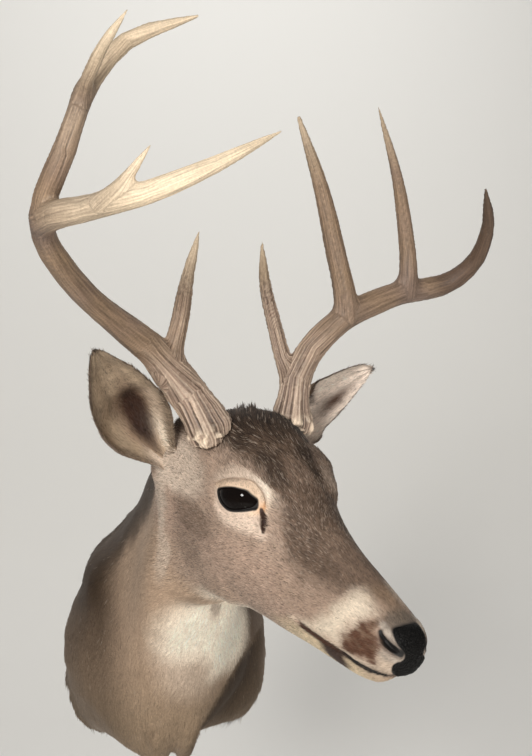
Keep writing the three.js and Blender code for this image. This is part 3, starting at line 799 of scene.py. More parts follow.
def earColours(points, spot):  # the edge nearer the antlers is at -1 across, the outer edge at 1
    along, across, layer = spot.T
    isLeft = toSkull(points)[:, 1] > 0
    rough = waver(points / mm, 5, 7) - 0.5
    blotch = waver(points / mm, 16, 17) - 0.5
    rim = np.clip(ramp(0.90, 1.0, np.abs(across) + 0.12 * rough) + ramp(0.96, 1.0, along), 0, 1)
    rim = rim * mix(0.25, 1.0, ramp(0.12, 0.5, along))
    back = tint(tones["earBack"], tones["nape"], ramp(0.6, 1.0, along))
    inside = tint(tones["earInside"], tones["tan"], ramp(0.5, 0.9, across) * ramp(0.3, 0.8, along) * 0.4)
    roll = np.exp(-((across + 0.62) / 0.2) ** 2) * ramp(0.6, 0.4, along)
    inside = tint(inside, tones["earRoll"], 0.9 * roll)
    # The cup's dark middle: partly the ear's own darker skin, partly painted shade in its hollow.
    deep = np.hypot((along - 0.32) / 0.25, (across + 0.12 + 0.6 * (along - 0.32)) / 0.31) + 0.3 * blotch
    inside = tint(inside, tones["wine"], 0.55 * (1 - ramp(0.7, 1.6, deep)))
    inside = tint(inside, tones["wine"] * 0.35, 0.97 * (1 - ramp(0.5, 1.1, deep)))
    tuft = np.exp(-((across + 0.50) / 0.22) ** 2 - ((along - 0.16) / 0.09) ** 2)
    inside = tint(inside, tones["cream"], 0.55 * tuft)
    smear = waver(np.stack([along * 30, across * 160, layer * 9], axis=1), 14, 31) - 0.5
    inside = inside * (1 + 0.5 * smear)[:, None]
    # The far (left) ear's inside: pale, with a brown patch of painted shade, darker over its lower inner
    # half.
    patch = np.exp(-((along - 0.70) / 0.15) ** 2 - ((across - 0.45) / 0.30) ** 2)
    far = tint(tones["earPale"], tones["brown"] * 0.6, 0.98 * patch)
    far = tint(far, tones["earRim"], 0.6 * ramp(0.60, 0.54, along) * ramp(0.12, -0.05, across))
    inside = np.where(isLeft[:, None], far, inside)
    colour = np.where((layer > 1.5)[:, None], inside, back)
    colour = tint(colour, tones["earRim"], rim * 0.85)
    colour = tint(colour, tones["paleTaupe"], 0.85 * ramp(0.20, 0.06, along) * (across > 0.2))
    return colour * (1 + 0.30 * rough + 0.15 * blotch)[:, None]


# Each kind of tuft: millimetres between roots, length, width, how far it lifts (degrees), how its
# colour strays, the shares of dark and pale hairs, and how much darker the roots are.
hair = {
    "body": {"gap": 1.36, "length": 10.5, "width": 0.95, "lift": 8.5,
             "stray": 0.12, "dark": 0.01, "pale": 0.004, "fade": 0.14},
    "face": {"gap": 1.08, "length": 4.2, "width": 0.72, "lift": 13,
             "stray": 0.26, "dark": 0.11, "pale": 0.12, "fade": 0.38},
    "crown": {"gap": 1.22, "length": 9.5, "width": 0.8, "lift": 30,
              "stray": 0.34, "dark": 0.4, "pale": 0.06, "fade": 0.5},
    "muzzle": {"gap": 1.05, "length": 3.6, "width": 0.7, "lift": 10,
               "stray": 0.17, "dark": 0.02, "pale": 0.0, "fade": 0.15},
    "ear": {"gap": 1.35, "length": 5.5, "width": 0.8, "lift": 12,
            "stray": 0.16, "dark": 0.08, "pale": 0.0, "fade": 0.2},
}
jitter = {"turn": 0.14, "clump": 0.35, "length": (0.72, 1.25), "width": (0.8, 1.2), "lift": (0.5, 1.5)}


def kindShares(own, layer):  # how much of each kind of hair grows at a point
    ear = (layer > 0.5).astype(float)
    head = ramp(-50, 30, own[:, 0]) * ramp(-125, -85, own[:, 2]) * (1 - ear)
    brow = np.exp(-((own[:, 0] - 58) / 52) ** 2 - (own[:, 1] / 36) ** 2) * ramp(34, 56, own[:, 2])
    crown = np.clip(brow * 1.3, 0, 1) * head
    muzzle = ramp(180, 235, own[:, 0]) * (head - crown)
    return {"body": 1 - head - ear, "face": head - crown - muzzle, "crown": crown, "muzzle": muzzle,
            "ear": ear}


def blended(shares, key):
    total = sum(shares.values())
    return sum(share * hair[kind][key] for kind, share in shares.items()) / np.maximum(total, 1e-6)


def lieOfCoat(points, normals, own, spot):  # the way the hair points, along the skin
    height = np.clip((own[:, 2] + 100) / 160, 0, 1)
    back = np.stack([-np.ones(len(points)), np.zeros(len(points)), mix(-0.55, 0.12, height)], axis=1) @ axes
    fall = ramp(230, -60, points[:, 2] / mm)
    down = np.stack([np.full(len(points), -0.05), mix(0.95, 0.42, fall), mix(-0.30, -0.90, fall)], axis=1)
    flow = unit(tint(back, down, ramp(70, -70, own[:, 0])))
    around = mirrored(own) - np.array([119, 53, 28])
    around[:, 1] *= np.sign(own[:, 1])
    parted = 0.9 * np.exp(-(np.maximum(lidDistance(own), 0) / 8) ** 2)
    flow = flow + unit(around) @ axes * parted[:, None]
    brow = np.exp(-((own[:, 0] - 85) / 50) ** 2) * ramp(35, 60, own[:, 2])
    swirl = (waver(points / mm, 28, 8) - 0.5) * mix(0.6, 2.4, brow)
    flow = flow + np.cross(normals, flow) * swirl[:, None]
    for name, sign in sides.items():
        _, axis, _, across = earAxes(name)
        mine = (spot[:, 2] > 0.5) & (np.sign(own[:, 1]) == sign)
        lean = ramp(-0.3, -0.7, spot[:, 1]) * ramp(0.6, 0.3, spot[:, 0])
        lean = np.where(spot[:, 2] > 1.5, lean, 0)
        flow[mine] = unit(axis) @ axes + (lean * sign * 1.8)[mine, None] * (across @ axes)
    flow = flow - normals * (flow * normals).sum(1)[:, None]
    return unit(flow)


def skinTriangles(mesh):  # each triangle's points and its corners in the UV map, and the map
    mesh.calc_loop_triangles()
    triangles = mesh.loop_triangles
    return (readFrom(triangles, "vertices", 3, np.int32), readFrom(triangles, "loops", 3, np.int32),
            readFrom(mesh.uv_layers["OFBake"].data, "uv", 2))


def vectorAttribute(mesh, name):
    return readFrom(mesh.attributes[name].data, "vector", 3)


# How near each of these the hair stops, in millimetres; pad and earRoot are shares.
bareWithin = {"lids": 1.6, "pad": 0.3, "nostril": 3.4, "mouth": 1.7, "tearSlit": 3.3, "rear": 0.6, "burr": 15,
              "earRoot": 0.06}
burrAt = (57, 43, 58)


def isBare(points, own, spot):  # where no hair grows
    left = mirrored(own)
    bare = (lidDistance(own) < bareWithin["lids"]) | (padShare(own) > bareWithin["pad"])
    for feature, key in ((nostril, "nostril"), (mouth, "mouth"), (tearSlit, "tearSlit")):
        bare |= alongLine(left, feature["line"])[0] < bareWithin[key]
    rear = (points[:, 1] > (skinShape["rear"] - bareWithin["rear"]) * mm) & (spot[:, 2] < 0.5)
    burrs = np.linalg.norm(left - np.array(burrAt), axis=1) < bareWithin["burr"]
    root = (spot[:, 2] > 0.5) & (spot[:, 0] < bareWithin["earRoot"])
    return bare | rear | burrs | root


def growRoots(mesh, chance):
    corners, loops, uv = skinTriangles(mesh)
    points, normals = pointsOf(mesh), normalsOf(mesh)
    spot, rest = vectorAttribute(mesh, "earSpot"), vectorAttribute(mesh, "rest")
    a, b, c = (points[corners[:, k]] for k in range(3))
    areas = np.linalg.norm(np.cross(b - a, c - a), axis=1) / 2 / mm ** 2
    middle = (a + b + c) / 3
    shares = kindShares(toSkull(middle), spot[corners[:, 0], 2])
    density = 1 / blended(shares, "gap") ** 2
    wanted = np.cumsum(areas * density)
    picks = np.arange(int(wanted[-1])) + chance.random(int(wanted[-1]))
    chosen = np.minimum(np.searchsorted(wanted, picks), len(areas) - 1)
    weights = chance.dirichlet((1, 1, 1), len(chosen))
    triple = corners[chosen]

    def spread(table, index):  # the values at the three corners, each by its share
        return np.einsum("ij,ijk->ik", weights, table[index])

    roots = {"points": spread(points, triple), "normals": unit(spread(normals, triple)),
             "rest": spread(rest, triple), "uv": spread(uv, loops[chosen]), "spot": spot[triple[:, 0]]}
    roots["spot"][:, :2] = spread(spot, triple)[:, :2]
    keep = ~isBare(roots["points"], toSkull(roots["rest"]), roots["spot"])
    return {key: value[keep] for key, value in roots.items()}


def makeTufts(roots, chance):
    points, normals, spot = roots["points"], roots["normals"], roots["spot"]
    own = toSkull(roots["rest"])
    count = len(points)
    shares = kindShares(own, spot[:, 2])
    flow = lieOfCoat(points, normals, own, spot)
    side = np.cross(normals, flow)
    clump = waver(points / mm, 7, 9) - 0.5
    turn = chance.normal(0, jitter["turn"], count) + jitter["clump"] * clump
    flow = unit(flow * np.cos(turn)[:, None] + side * np.sin(turn)[:, None])
    given = {key: blended(shares, key) * chance.uniform(*jitter[key], count)
             for key in ("length", "width", "lift")}
    clear = ramp(2, 16, np.maximum(lidDistance(own), 0))  # 0 at the lids, where the hair is short and fine
    tuft = (spot[:, 2] > 1.5) * ramp(-0.35, -0.6, spot[:, 1]) * ramp(0.5, 0.3, spot[:, 0])
    hem = ramp(-45, -12, points[:, 1] / mm) * (spot[:, 2] < 0.5)
    between = np.exp(-((own[:, 0] - 42) / 22) ** 2 - (own[:, 1] / 30) ** 2) * ramp(40, 60, own[:, 2])
    ragged = between * ramp(0.5, 0.75, waver(points / mm, 9, 18))
    fringe = hem * (0.3 + 1.0 * ramp(0.5, 0.8, waver(points / mm, 14, 10)))
    length = given["length"] * mix(0.5, 1.0, clear) * (1 + 1.2 * tuft + 0.8 * ragged + fringe)
    lift = np.radians(given["lift"]) * (1 + 0.5 * hem + 0.7 * ragged)
    return {**roots, "count": count, "flow": flow, "side": np.cross(normals, flow), "length": length,
            "width": given["width"] * mix(0.75, 1.0, clear), "lift": lift, "own": own, "shares": shares,
            "fade": blended(shares, "fade")}


def hairColours(tufts, chance):
    points, spot, count = tufts["rest"], tufts["spot"], tufts["count"]
    colour = bodyColours(points)
    ear = spot[:, 2] > 0.5
    colour[ear] = earColours(points[ear], spot[ear])
    stray = 1 + blended(tufts["shares"], "stray") * chance.normal(0, 1, count)
    colour = colour * stray[:, None].clip(0.35, 1.8)
    light = ramp(0.30, 0.62, colour.mean(1))
    pick = chance.random(count)
    dark = pick < blended(tufts["shares"], "dark") * mix(1.0, 0.2, light)
    pale = (pick > 1 - blended(tufts["shares"], "pale")) & (light < 0.3)
    colour[dark] *= 0.5
    colour[pale] = tint(colour[pale], tones["paleTaupe"], np.full(pale.sum(), 0.42))
    return colour.clip(0.004, 0.9)


# One tuft: rows of points from root to tip, each as along, across and raised, in shares of its size.
longTuft = {"points": [(0, -.5, 0), (0, .5, 0), (0.05, 0, .5), (.5, -.42, 0), (.5, .42, 0), (.52, 0, .42),
                       (1, 0, 0)],
            "faces": [(0, 3, 5), (0, 5, 2), (2, 5, 4), (2, 4, 1), (1, 4, 3), (1, 3, 0), (3, 6, 5),
                      (5, 6, 4), (4, 6, 3), (0, 2, 1)]}
shortTuft = {"points": [(0, -.5, 0), (0, .5, 0), (.12, 0, .45), (1, 0, 0)],
             "faces": [(0, 3, 2), (2, 3, 1), (1, 3, 0), (0, 2, 1)]}
tuftShape = {"uvPatch": 0.003, "bend": 0.75, "droop": 0.38, "sunk": 0.25, "offWall": 0.8}


def tuftMesh(tufts, colours, chosen, form, name):
    shape, faces = np.array(form["points"]), np.array(form["faces"])
    count, each = len(chosen), len(shape)
    along = shape[:, 0][None, :, None]
    length = (tufts["length"][chosen] * mm)[:, None, None]
    width = (tufts["width"][chosen] * mm)[:, None, None]
    lift = tufts["lift"][chosen][:, None, None]
    flow, side, normal = (tufts[key][chosen][:, None, :] for key in ("flow", "side", "normals"))
    across, raised = shape[:, 1][None, :, None], shape[:, 2][None, :, None]
    rise = np.sin(lift) * (along - tuftShape["droop"] * along ** 2) * length
    rise = rise + raised * width - tuftShape["sunk"] * width
    placed = tufts["points"][chosen][:, None, :] + flow * along * length * np.cos(lift)
    placed = placed + side * across * width + normal * rise
    placed[:, :, 1] = np.minimum(placed[:, :, 1], -tuftShape["offWall"] * mm)
    corners = (faces[None] + (np.arange(count) * each)[:, None, None]).reshape(-1, 3)
    mesh = bpy.data.meshes.new(name)
    mesh.vertices.add(count * each)
    mesh.vertices.foreach_set("co", placed.astype(np.float32).ravel())
    mesh.loops.add(corners.size)
    mesh.loops.foreach_set("vertex_index", corners.astype(np.int32).ravel())
    mesh.polygons.add(len(corners))
    mesh.polygons.foreach_set("loop_start", np.arange(0, corners.size, 3, dtype=np.int32))
    mesh.update(calc_edges=True)
    fade = tufts["fade"][chosen][:, None, None]
    shade = 1 - fade + 1.6 * fade * np.clip(along, 0, 1)
    setColours(mesh, (colours[chosen][:, None, :] * shade).reshape(-1, 3))
    layer = mesh.uv_layers.new(name="OFBake")
    spread = np.stack([shape[:, 0] - 0.5, shape[:, 1]], axis=1) * tuftShape["uvPatch"]
    uv = tufts["uv"][chosen][:, None, :] + spread[None]
    layer.data.foreach_set("uv", uv.reshape(-1, 2)[corners.ravel()].astype(np.float32).ravel())
    bend = tuftShape["bend"]
    facing = unit(normal * bend + (1 - bend) * side * across * 2 + 0.001)
    facing = np.broadcast_to(facing, (count, each, 3)).reshape(-1, 3)
    mesh.shade_smooth()
    mesh.normals_split_custom_set_from_vertices(facing)
    return mesh


coat = {"seed": 11, "mostFaces": 190000, "hemFrom": -0.03}


def makeCoat(skinMesh, material):
    chance = np.random.default_rng(coat["seed"])
    roots = growRoots(skinMesh, chance)
    tufts = makeTufts(roots, chance)
    colours = hairColours(tufts, chance)
    hem = (tufts["points"][:, 1] > coat["hemFrom"]) & (tufts["spot"][:, 2] < 0.5)
    isLong = (tufts["shares"]["crown"] > 0.5) | hem
    ear = tufts["spot"][:, 2] > 0.5
    rightSide = tufts["own"][:, 1] < 0
    back = tufts["own"][:, 0] < 0
    short = ~isLong & ~ear
    groups = {"coat_hem_crown": (isLong & ~ear, longTuft)}
    for place, mask in (("body", short & back), ("face", short & ~back), ("ear", ear)):
        for side, here in (("right", rightSide), ("left", ~rightSide)):
            groups[f"coat_{place}_{side}"] = (mask & here, shortTuft)
    total = 0
    for name, (mask, form) in groups.items():
        members = np.flatnonzero(mask)
        members = members[np.argsort(-tufts["own"][members, 0], kind="stable")]
        pieces = max(1, math.ceil(len(members) * len(form["faces"]) / coat["mostFaces"]))
        for number, chosen in enumerate(np.array_split(members, pieces), 1):
            mesh = tuftMesh(tufts, colours, chosen, form, f"{name}_{number}")
            finished(mesh, f"{name}_{number}", material)
        total += len(members) * len(form["faces"])
    print("coat:", total, "triangles on", tufts["count"], "tufts")


finishes = {
    "coat": {"Roughness": 0.72, "Sheen Weight": 0.06, "Sheen Roughness": 0.45, "Specular IOR Level": 0.22},
    "skin": {"Roughness": 0.7},
    "antlerBone": {"Roughness": 0.5, "Specular IOR Level": 0.4},
    "glassEye": {"Roughness": 0.05, "IOR": 1.4, "Specular IOR Level": 0.14},
    "noseLeather": {"Roughness": 0.46, "Specular IOR Level": 0.1},
    "plywood": {"Roughness": 0.7},
    "studioPaper": {"Roughness": 0.9, "Base Color": (0.78, 0.77, 0.74, 1)},
}


def newMaterial(name):
    material = bpy.data.materials.new(name)
    material.use_nodes = True
    shader = material.node_tree.nodes["Principled BSDF"]
    for key, value in finishes[name].items():
        shader.inputs[key].default_value = value
    return material, material.node_tree, shader


def node(tree, kind, inputs=None, **settings):
    made = tree.nodes.new(kind)
    for key, value in settings.items():
        setattr(made, key, value)
    for key, value in (inputs or {}).items():
        if isinstance(value, bpy.types.NodeSocket):
            tree.links.new(value, made.inputs[key])
        else:
            made.inputs[key].default_value = value
    return made


def attribute(tree, name, output="Color"):
    return node(tree, "ShaderNodeAttribute", attribute_name=name).outputs[output]


def objectPlace(tree):
    return node(tree, "ShaderNodeTexCoord").outputs["Object"]


def noise(tree, vector, scale, detail, **more):
    inputs = {"Vector": vector, "Scale": scale, "Detail": detail, **more}
    return node(tree, "ShaderNodeTexNoise", inputs).outputs["Fac"]


def level(tree, value, low, high, **more):  # the value carried into a range from low to high
    inputs = {"Value": value, "To Min": low, "To Max": high, **more}
    return node(tree, "ShaderNodeMapRange", inputs).outputs["Result"]


def times(tree, colour, share):
    made = node(tree, "ShaderNodeVectorMath", {0: colour, 1: share}, operation="MULTIPLY")
    return made.outputs["Vector"]


def colourBetween(tree, share, first, last):  # a colour from first to last
    made = node(tree, "ShaderNodeValToRGB", {"Fac": share})
    for element, colour in zip(made.color_ramp.elements, (first, last)):
        element.color = (*colour, 1)
    return made.outputs["Color"]


def bumped(tree, height, strength, distance, **more):
    inputs = {"Height": height, "Strength": strength, "Distance": distance, **more}
    return node(tree, "ShaderNodeBump", inputs).outputs["Normal"]


def feed(tree, shader, outputs):
    for key, output in outputs.items():
        tree.links.new(output, shader.inputs[key])


def speckleGroup():  # fine noise through a piece: its height, and a level that strays between two values
    group = bpy.data.node_groups.new("speckle", "ShaderNodeTree")
    for name, value in (("Scale", 500.0), ("Detail", 3.0), ("Low", 0.9), ("High", 1.1)):
        socket = group.interface.new_socket(name, in_out="INPUT", socket_type="NodeSocketFloat")
        socket.default_value = value
    for name in ("Height", "Level"):
        group.interface.new_socket(name, in_out="OUTPUT", socket_type="NodeSocketFloat")
    given = group.nodes.new("NodeGroupInput").outputs
    result = group.nodes.new("NodeGroupOutput").inputs
    height = noise(group, objectPlace(group), given["Scale"], given["Detail"])
    spread = {"From Min": 0.3, "From Max": 0.7}
    group.links.new(height, result["Height"])
    group.links.new(level(group, height, given["Low"], given["High"], **spread), result["Level"])
    return group


def speckle(tree, scale, detail, low=0.9, high=1.1):  # the group's outputs with this material's values
    group = bpy.data.node_groups.get("speckle") or speckleGroup()
    made = node(tree, "ShaderNodeGroup", node_tree=group)
    for key, value in (("Scale", scale), ("Detail", detail), ("Low", low), ("High", high)):
        made.inputs[key].default_value = value
    return made.outputs


def coatMaterial():
    material, tree, shader = newMaterial("coat")
    fleck = speckle(tree, 420.0, 2.0, 0.86, 1.14)
    feed(tree, shader, {"Base Color": times(tree, attribute(tree, "coatColour"), fleck["Level"])})
    return material


def skinMaterial():
    material, tree, shader = newMaterial("skin")
    fine = speckle(tree, 900.0, 3.0)
    feed(tree, shader, {"Base Color": attribute(tree, "coatColour"),
                        "Normal": bumped(tree, fine["Height"], 0.25, 0.0006)})
    return material


# Centre lines in the skull's frame and the shares along them between which the bone turns pale.
antlerLines = {
    "right": {
        "main": [(58, -42, 52), (27, -54, 87), (8, -99, 130), (13, -126, 149), (24, -160, 174),
                 (37, -192, 203), (50, -218, 234), (62, -226, 262), (70, -219, 300), (59, -201, 344),
                 (50, -171, 376), (67, -126, 401)],
        "brow": [(16, -78, 100), (10, -67, 120), (6, -62, 146), (-9, -52, 176), (-25, -37, 217)],
        "forward": [(50, -224, 240), (80, -224, 258), (112, -216, 272), (146, -192, 293), (160, -155, 316),
                    (161, -106, 342)],
        "rear": [(62, -206, 330), (72, -209, 350), (82, -206, 373), (88, -194, 400)],
        "kicker": [(121, -212, 279), (133, -205, 296), (136, -190, 322)],
    },
    "left": {
        "main": [(58, 42, 52), (42, 50, 100), (40, 62, 128), (41, 92, 157), (43, 120, 170), (44, 150, 180),
                 (47, 176, 184), (57, 199, 195), (70, 210, 219), (83, 202, 255), (97, 171, 295)],
        "brow": [(42, 52, 88), (24, 42, 114), (9, 39, 137), (-7, 32, 170), (-13, 23, 212)],
        "second": [(42, 92, 158), (36, 88, 182), (23, 84, 206), (-4, 72, 263), (-31, 51, 322)],
        "third": [(46, 156, 182), (35, 155, 221), (16, 142, 280), (-6, 119, 341)],
    },
}
paleFrom = {"right": {"main": (0.68, 1.0), "brow": (0.5, 1.1), "forward": (0.05, 0.5), "rear": (0.1, 0.8),
                      "kicker": (-0.6, 0.8)},
            "left": {"main": (0.93, 1.4), "brow": (0.6, 1.3), "second": (0.65, 1.3), "third": (0.65, 1.3)}}
antlerShape = {"voxel": 1.5, "rounds": 6, "webRounds": 90, "web": 24, "rough": 95, "groove": 0.46,
               "bead": 0.5, "burr": 19.5, "knob": 3.0, "streak": 12.0, "streakAlong": 0.06}
# Grooves round the bone: how many, how slowly they sway along it and how deep they are.
grooveSets = [(5, 90, 0.34), (11, 60, 0.28), (23, 45, 0.46), (41, 30, 0.42)]
# Where the bone is thicker: the place, how far it reaches and how far it stands out.
swellings = {"right": [((32, -66, 84), 20, 6.5), ((16, -78, 98), 18, 4.5)], "left": []}
innerWear = {"right": 0.5, "left": 0.9}  # how rough the bone is round the foot of the brow tine
boneTones = {"tan": linear(150, 125, 99), "grey": linear(120, 101, 88), "base": linear(146, 125, 111),
             "ivory": linear(238, 218, 188), "dark": linear(66, 50, 38), "pale": linear(226, 206, 182),
             "umber": linear(80, 62, 50)}


def antlerNodes(side):
    return sorted(name for name in nodes if name.startswith(f"antler_{side}_"))


def grainOf(own, side):  # where each point lies along the nearest branch and round it
    best = np.full(len(own), np.inf)
    grain = {key: np.zeros(len(own)) for key in ("length", "turn", "branch")}
    pale, weights = np.zeros(len(own)), np.full(len(own), 1e-9)
    for number, (name, line) in enumerate(antlerLines[side].items()):
        line = np.array(line, float)
        away, share, spot = alongLine(own, line)
        whole = np.linalg.norm(np.diff(line, axis=0), axis=1).sum()
        way = unit(line[-1] - line[0])
        first = unit(np.cross(way, (1.0, 0.2, 0.1)))
        out = own - spot
        closer = away < best
        best[closer] = away[closer]
        grain["length"][closer] = (share * whole)[closer]
        grain["turn"][closer] = np.arctan2(out @ first, out @ np.cross(way, first))[closer]
        grain["branch"][closer] = number
        low, high = paleFrom[side][name]
        weight = np.exp(-away / 3.5) + 1e-9
        pale += weight * np.clip((share - low) / (high - low), 0, 1)
        weights += weight
    grain["pale"] = pale / weights
    return grain


def nearness(own, spots, reach):
    return np.clip(sum(np.exp(-(np.linalg.norm(own - spot, axis=1) / reach) ** 2) for spot in spots), 0, 1)


def grooves(grain):  # ridges that run along the bone and wander a little
    total = 0
    for number, (waves, drift, depth) in enumerate(grooveSets):
        sway = 1.4 * np.sin(grain["length"] / drift + number)
        sway = sway + 0.7 * np.sin(grain["length"] / (drift * 0.37) + 2 * number)
        total = total + depth * np.sin(waves * grain["turn"] + sway + number * 1.7 + grain["branch"])
    return total


def makeAntler(side, material):
    shape, tone = antlerShape, boneTones
    lines = antlerLines[side]
    mesh = unionOf(antlerNodes(side), shape["voxel"], shape["rounds"])
    points, edges = pointsOf(mesh), edgesOf(mesh)
    own = toSkull(points)
    forks = [np.array(line[0], float) for name, line in lines.items() if name != "main"]
    foot = np.array(lines["main"][0], float)
    near = nearness(own, forks, shape["web"]) * ramp(28, 60, np.linalg.norm(own - foot, axis=1))
    points = relax(points, edges, 0.5 * near, shape["webRounds"])
    setPoints(mesh, points)
    rise = 0.9 * near
    for spot, reach, stand in swellings[side]:
        rise = rise + stand * np.exp(-(np.linalg.norm(own - np.array(spot), axis=1) / reach) ** 2)
    setPoints(mesh, points + normalsOf(mesh) * (rise * mm)[:, None])
    own = toSkull(faceCentres(mesh))
    brow = np.array(lines["brow"], float)
    rough = np.linalg.norm(own - foot, axis=1) < shape["rough"]
    mesh = refined(mesh, rough | (alongLine(own, brow[:3])[0] < 22))
    points, edges = pointsOf(mesh), edgesOf(mesh)
    points = relax(points, edges, np.full(len(points), 0.4), 2)
    setPoints(mesh, points)
    own = toSkull(points)
    grain = grainOf(own, side)
    deep = grooves(grain)
    fromFoot = np.linalg.norm(own - foot, axis=1)
    low = ramp(150, 25, fromFoot)
    inner = ramp(38, 12, alongLine(own, brow[:3] * 0.5 + brow[1:4] * 0.5)[0]) * innerWear[side]
    low = np.maximum(low, inner)
    strength = shape["groove"] * mix(0.8, 1.7, low) * mix(1.0, 0.3, grain["pale"])
    beads = ramp(0.55, 0.8, waver(own, 3.1, 12)) * shape["bead"] * ramp(0.15, 0.8, low)
    ring = np.exp(-((fromFoot - shape["burr"]) / 4) ** 2) * ramp(40, 60, own[:, 2])
    knobs = ring * ramp(0.42, 0.75, waver(own, 4.4, 13)) * shape["knob"]
    out = normalsOf(mesh)
    setPoints(mesh, points + out * ((deep * strength + beads + knobs - 0.1) * mm)[:, None])
    stain = waver(own, 22, 14) - 0.5
    web = nearness(own, forks, 20)
    colour = tint(tone["tan"], tone["grey"], np.clip(0.45 + 0.9 * stain - 0.5 * low + 0.6 * web, 0, 1))
    colour = tint(colour, tone["base"], 0.9 * low)
    colour = tint(colour, tone["ivory"], 0.8 * grain["pale"])
    if side == "left":
        tail = alongLine(own, lines["main"][7:])[0]
        colour = tint(colour, tone["umber"], 0.85 * ramp(30, 8, tail))
    sunk = np.clip(-deep, 0, 1) * mix(0.45, 0.95, low) * mix(1, 0.35, grain["pale"])
    colour = tint(colour, tone["dark"], sunk)
    proud = np.clip(deep, 0, 1) * low * 0.45 + knobs * 0.5 + beads * 0.2
    colour = tint(colour, tone["pale"], np.clip(proud, 0, 0.85))
    setColours(mesh, colour * (1 + 0.34 * stain)[:, None], "boneColour")
    turn = grain["turn"]
    streak = np.stack([np.cos(turn) * shape["streak"], np.sin(turn) * shape["streak"],
                       grain["length"] * shape["streakAlong"]], axis=1)
    setVectors(mesh, "boneGrain", streak + grain["branch"][:, None] * 7)
    print("antler", side, len(mesh.polygons), "faces")
    finished(mesh, f"antler_{side}", material, antlerNodes(side))


def boneMaterial():
    material, tree, shader = newMaterial("antlerBone")
    grain = attribute(tree, "boneGrain", "Vector")
    streaks = noise(tree, grain, 0.62, 4.0, Roughness=0.62)
    pores = speckle(tree, 700.0, 3.0, 0.88, 1.12)
    shade = level(tree, streaks, 0.62, 1.28, **{"From Min": 0.32, "From Max": 0.68})
    colour = times(tree, attribute(tree, "boneColour"), shade)
    coarse = bumped(tree, streaks, 0.6, 0.0014)
    feed(tree, shader, {"Base Color": times(tree, colour, pores["Level"]),
                        "Normal": bumped(tree, pores["Height"], 0.3, 0.0006, Normal=coarse),
                        "Roughness": level(tree, streaks, 0.38, 0.64)})
    return material


def makeEye(side, material):
    bm = bmesh.new()
    bmesh.ops.create_uvsphere(bm, u_segments=56, v_segments=40, radius=1)
    ball = np.array([vert.co for vert in bm.verts]) * np.array([eye["long"], eye["radius"], eye["radius"]])
    out = np.array(eye["out"])
    lidAxes = np.array([(out[1], -out[0], 0), out, (0, 0, 1)])
    placed = np.array(eye["centre"]) + (ball + np.array([eye["middle"], 0, 0])) @ lidAxes
    placed[:, 1] -= eye["leftIn"] if side == "left" else 0
    placed[:, 1] *= sides[side]
    for vert, place in zip(bm.verts, fromSkull(placed)):
        vert.co = place
    bmesh.ops.recalc_face_normals(bm, faces=bm.faces)
    finished(meshOf(bm, f"eye_{side}"), f"glass_eye_{side}", material, [f"eye_{side}"])


def eyeMaterial():
    material, tree, shader = newMaterial("glassEye")
    height = speckle(tree, 260.0, 3.0)["Height"]
    dark = colourBetween(tree, height, (0.003, 0.002, 0.002), (0.006, 0.004, 0.003))
    feed(tree, shader, {"Base Color": dark})
    return material


noseShape = {"edge": 0.8, "hole": 1.6, "sunk": -0.4, "swell": 1.3, "pebble": 2.1, "grain": 0.45,
             "wall": 1.8, "seed": 15}


def makeNose(skinMesh, material):
    bm = bmesh.new()
    bm.from_mesh(skinMesh)
    own = toSkull(vectorAttribute(skinMesh, "rest"))
    keep = padDistance(own) < noseShape["edge"]
    keep &= alongLine(mirrored(own), nostril["line"])[0] > noseShape["hole"]
    doomed = [vert for vert, kept in zip(bm.verts, keep) if not kept]
    bmesh.ops.delete(bm, geom=doomed, context="VERTS")
    bmesh.ops.subdivide_edges(bm, edges=bm.edges, cuts=1, use_grid_fill=True)
    mesh = meshOf(bm, "nosePad")
    points, own = pointsOf(mesh), toSkull(pointsOf(mesh))
    inward = -padDistance(own)
    grains = ramp(0.05, 0.9, pebbles(own, noseShape["pebble"])) * ramp(0, 2, inward)
    rise = noseShape["sunk"] + noseShape["swell"] * ramp(-0.8, 2.2, inward) + noseShape["grain"] * grains
    setPoints(mesh, points + normalsOf(mesh) * (rise * mm)[:, None])
    wall = {"thickness": noseShape["wall"] * mm, "offset": -1, "use_even_offset": False}
    mesh = throughModifiers(mesh, ("SOLIDIFY", wall))
    finished(mesh, "nose", material, ["nose_pad"])


def pebbles(own, size):  # 0 in the creases between scattered grains, 1 on their tops
    cell = np.floor(own / size)
    first = np.full(len(own), 9.0)
    second = np.full(len(own), 9.0)
    chance = np.random.default_rng(noseShape["seed"]).random((16, 16, 16, 3))
    for step in np.ndindex(3, 3, 3):
        near = cell + np.array(step) - 1
        index = near.astype(int) % 16
        seed = near + chance[index[:, 0], index[:, 1], index[:, 2]]
        far = np.linalg.norm(own / size - seed, axis=1)
        second = np.minimum(second, np.maximum(first, far))
        first = np.minimum(first, far)
    return ramp(0.02, 0.35, second - first)


def noseMaterial():
    material, tree, shader = newMaterial("noseLeather")
    cells = node(tree, "ShaderNodeTexVoronoi", {"Vector": objectPlace(tree), "Scale": 520.0},
                 feature="DISTANCE_TO_EDGE")
    tops = level(tree, cells.outputs["Distance"], 0.0, 1.0, **{"From Max": 0.25})
    dark = colourBetween(tree, tops, (0.002, 0.002, 0.002), (0.010, 0.0095, 0.009))
    feed(tree, shader, {"Base Color": dark, "Normal": bumped(tree, tops, 0.4, 0.0005)})
    return material


def plywoodMaterial():
    material, tree, shader = newMaterial("plywood")
    layout = node(tree, "ShaderNodeMapping", {"Vector": objectPlace(tree), "Scale": (14.0, 260.0, 1.6)})
    grain = noise(tree, layout.outputs["Vector"], 6.0, 5.0)
    wood = colourBetween(tree, grain, linear(150, 112, 72), linear(202, 166, 118))
    feed(tree, shader, {"Base Color": wood, "Normal": bumped(tree, grain, 0.3, 0.0006)})
    return material


def dress(name, material):
    nodes[name].data.materials.clear()
    nodes[name].data.materials.append(material)


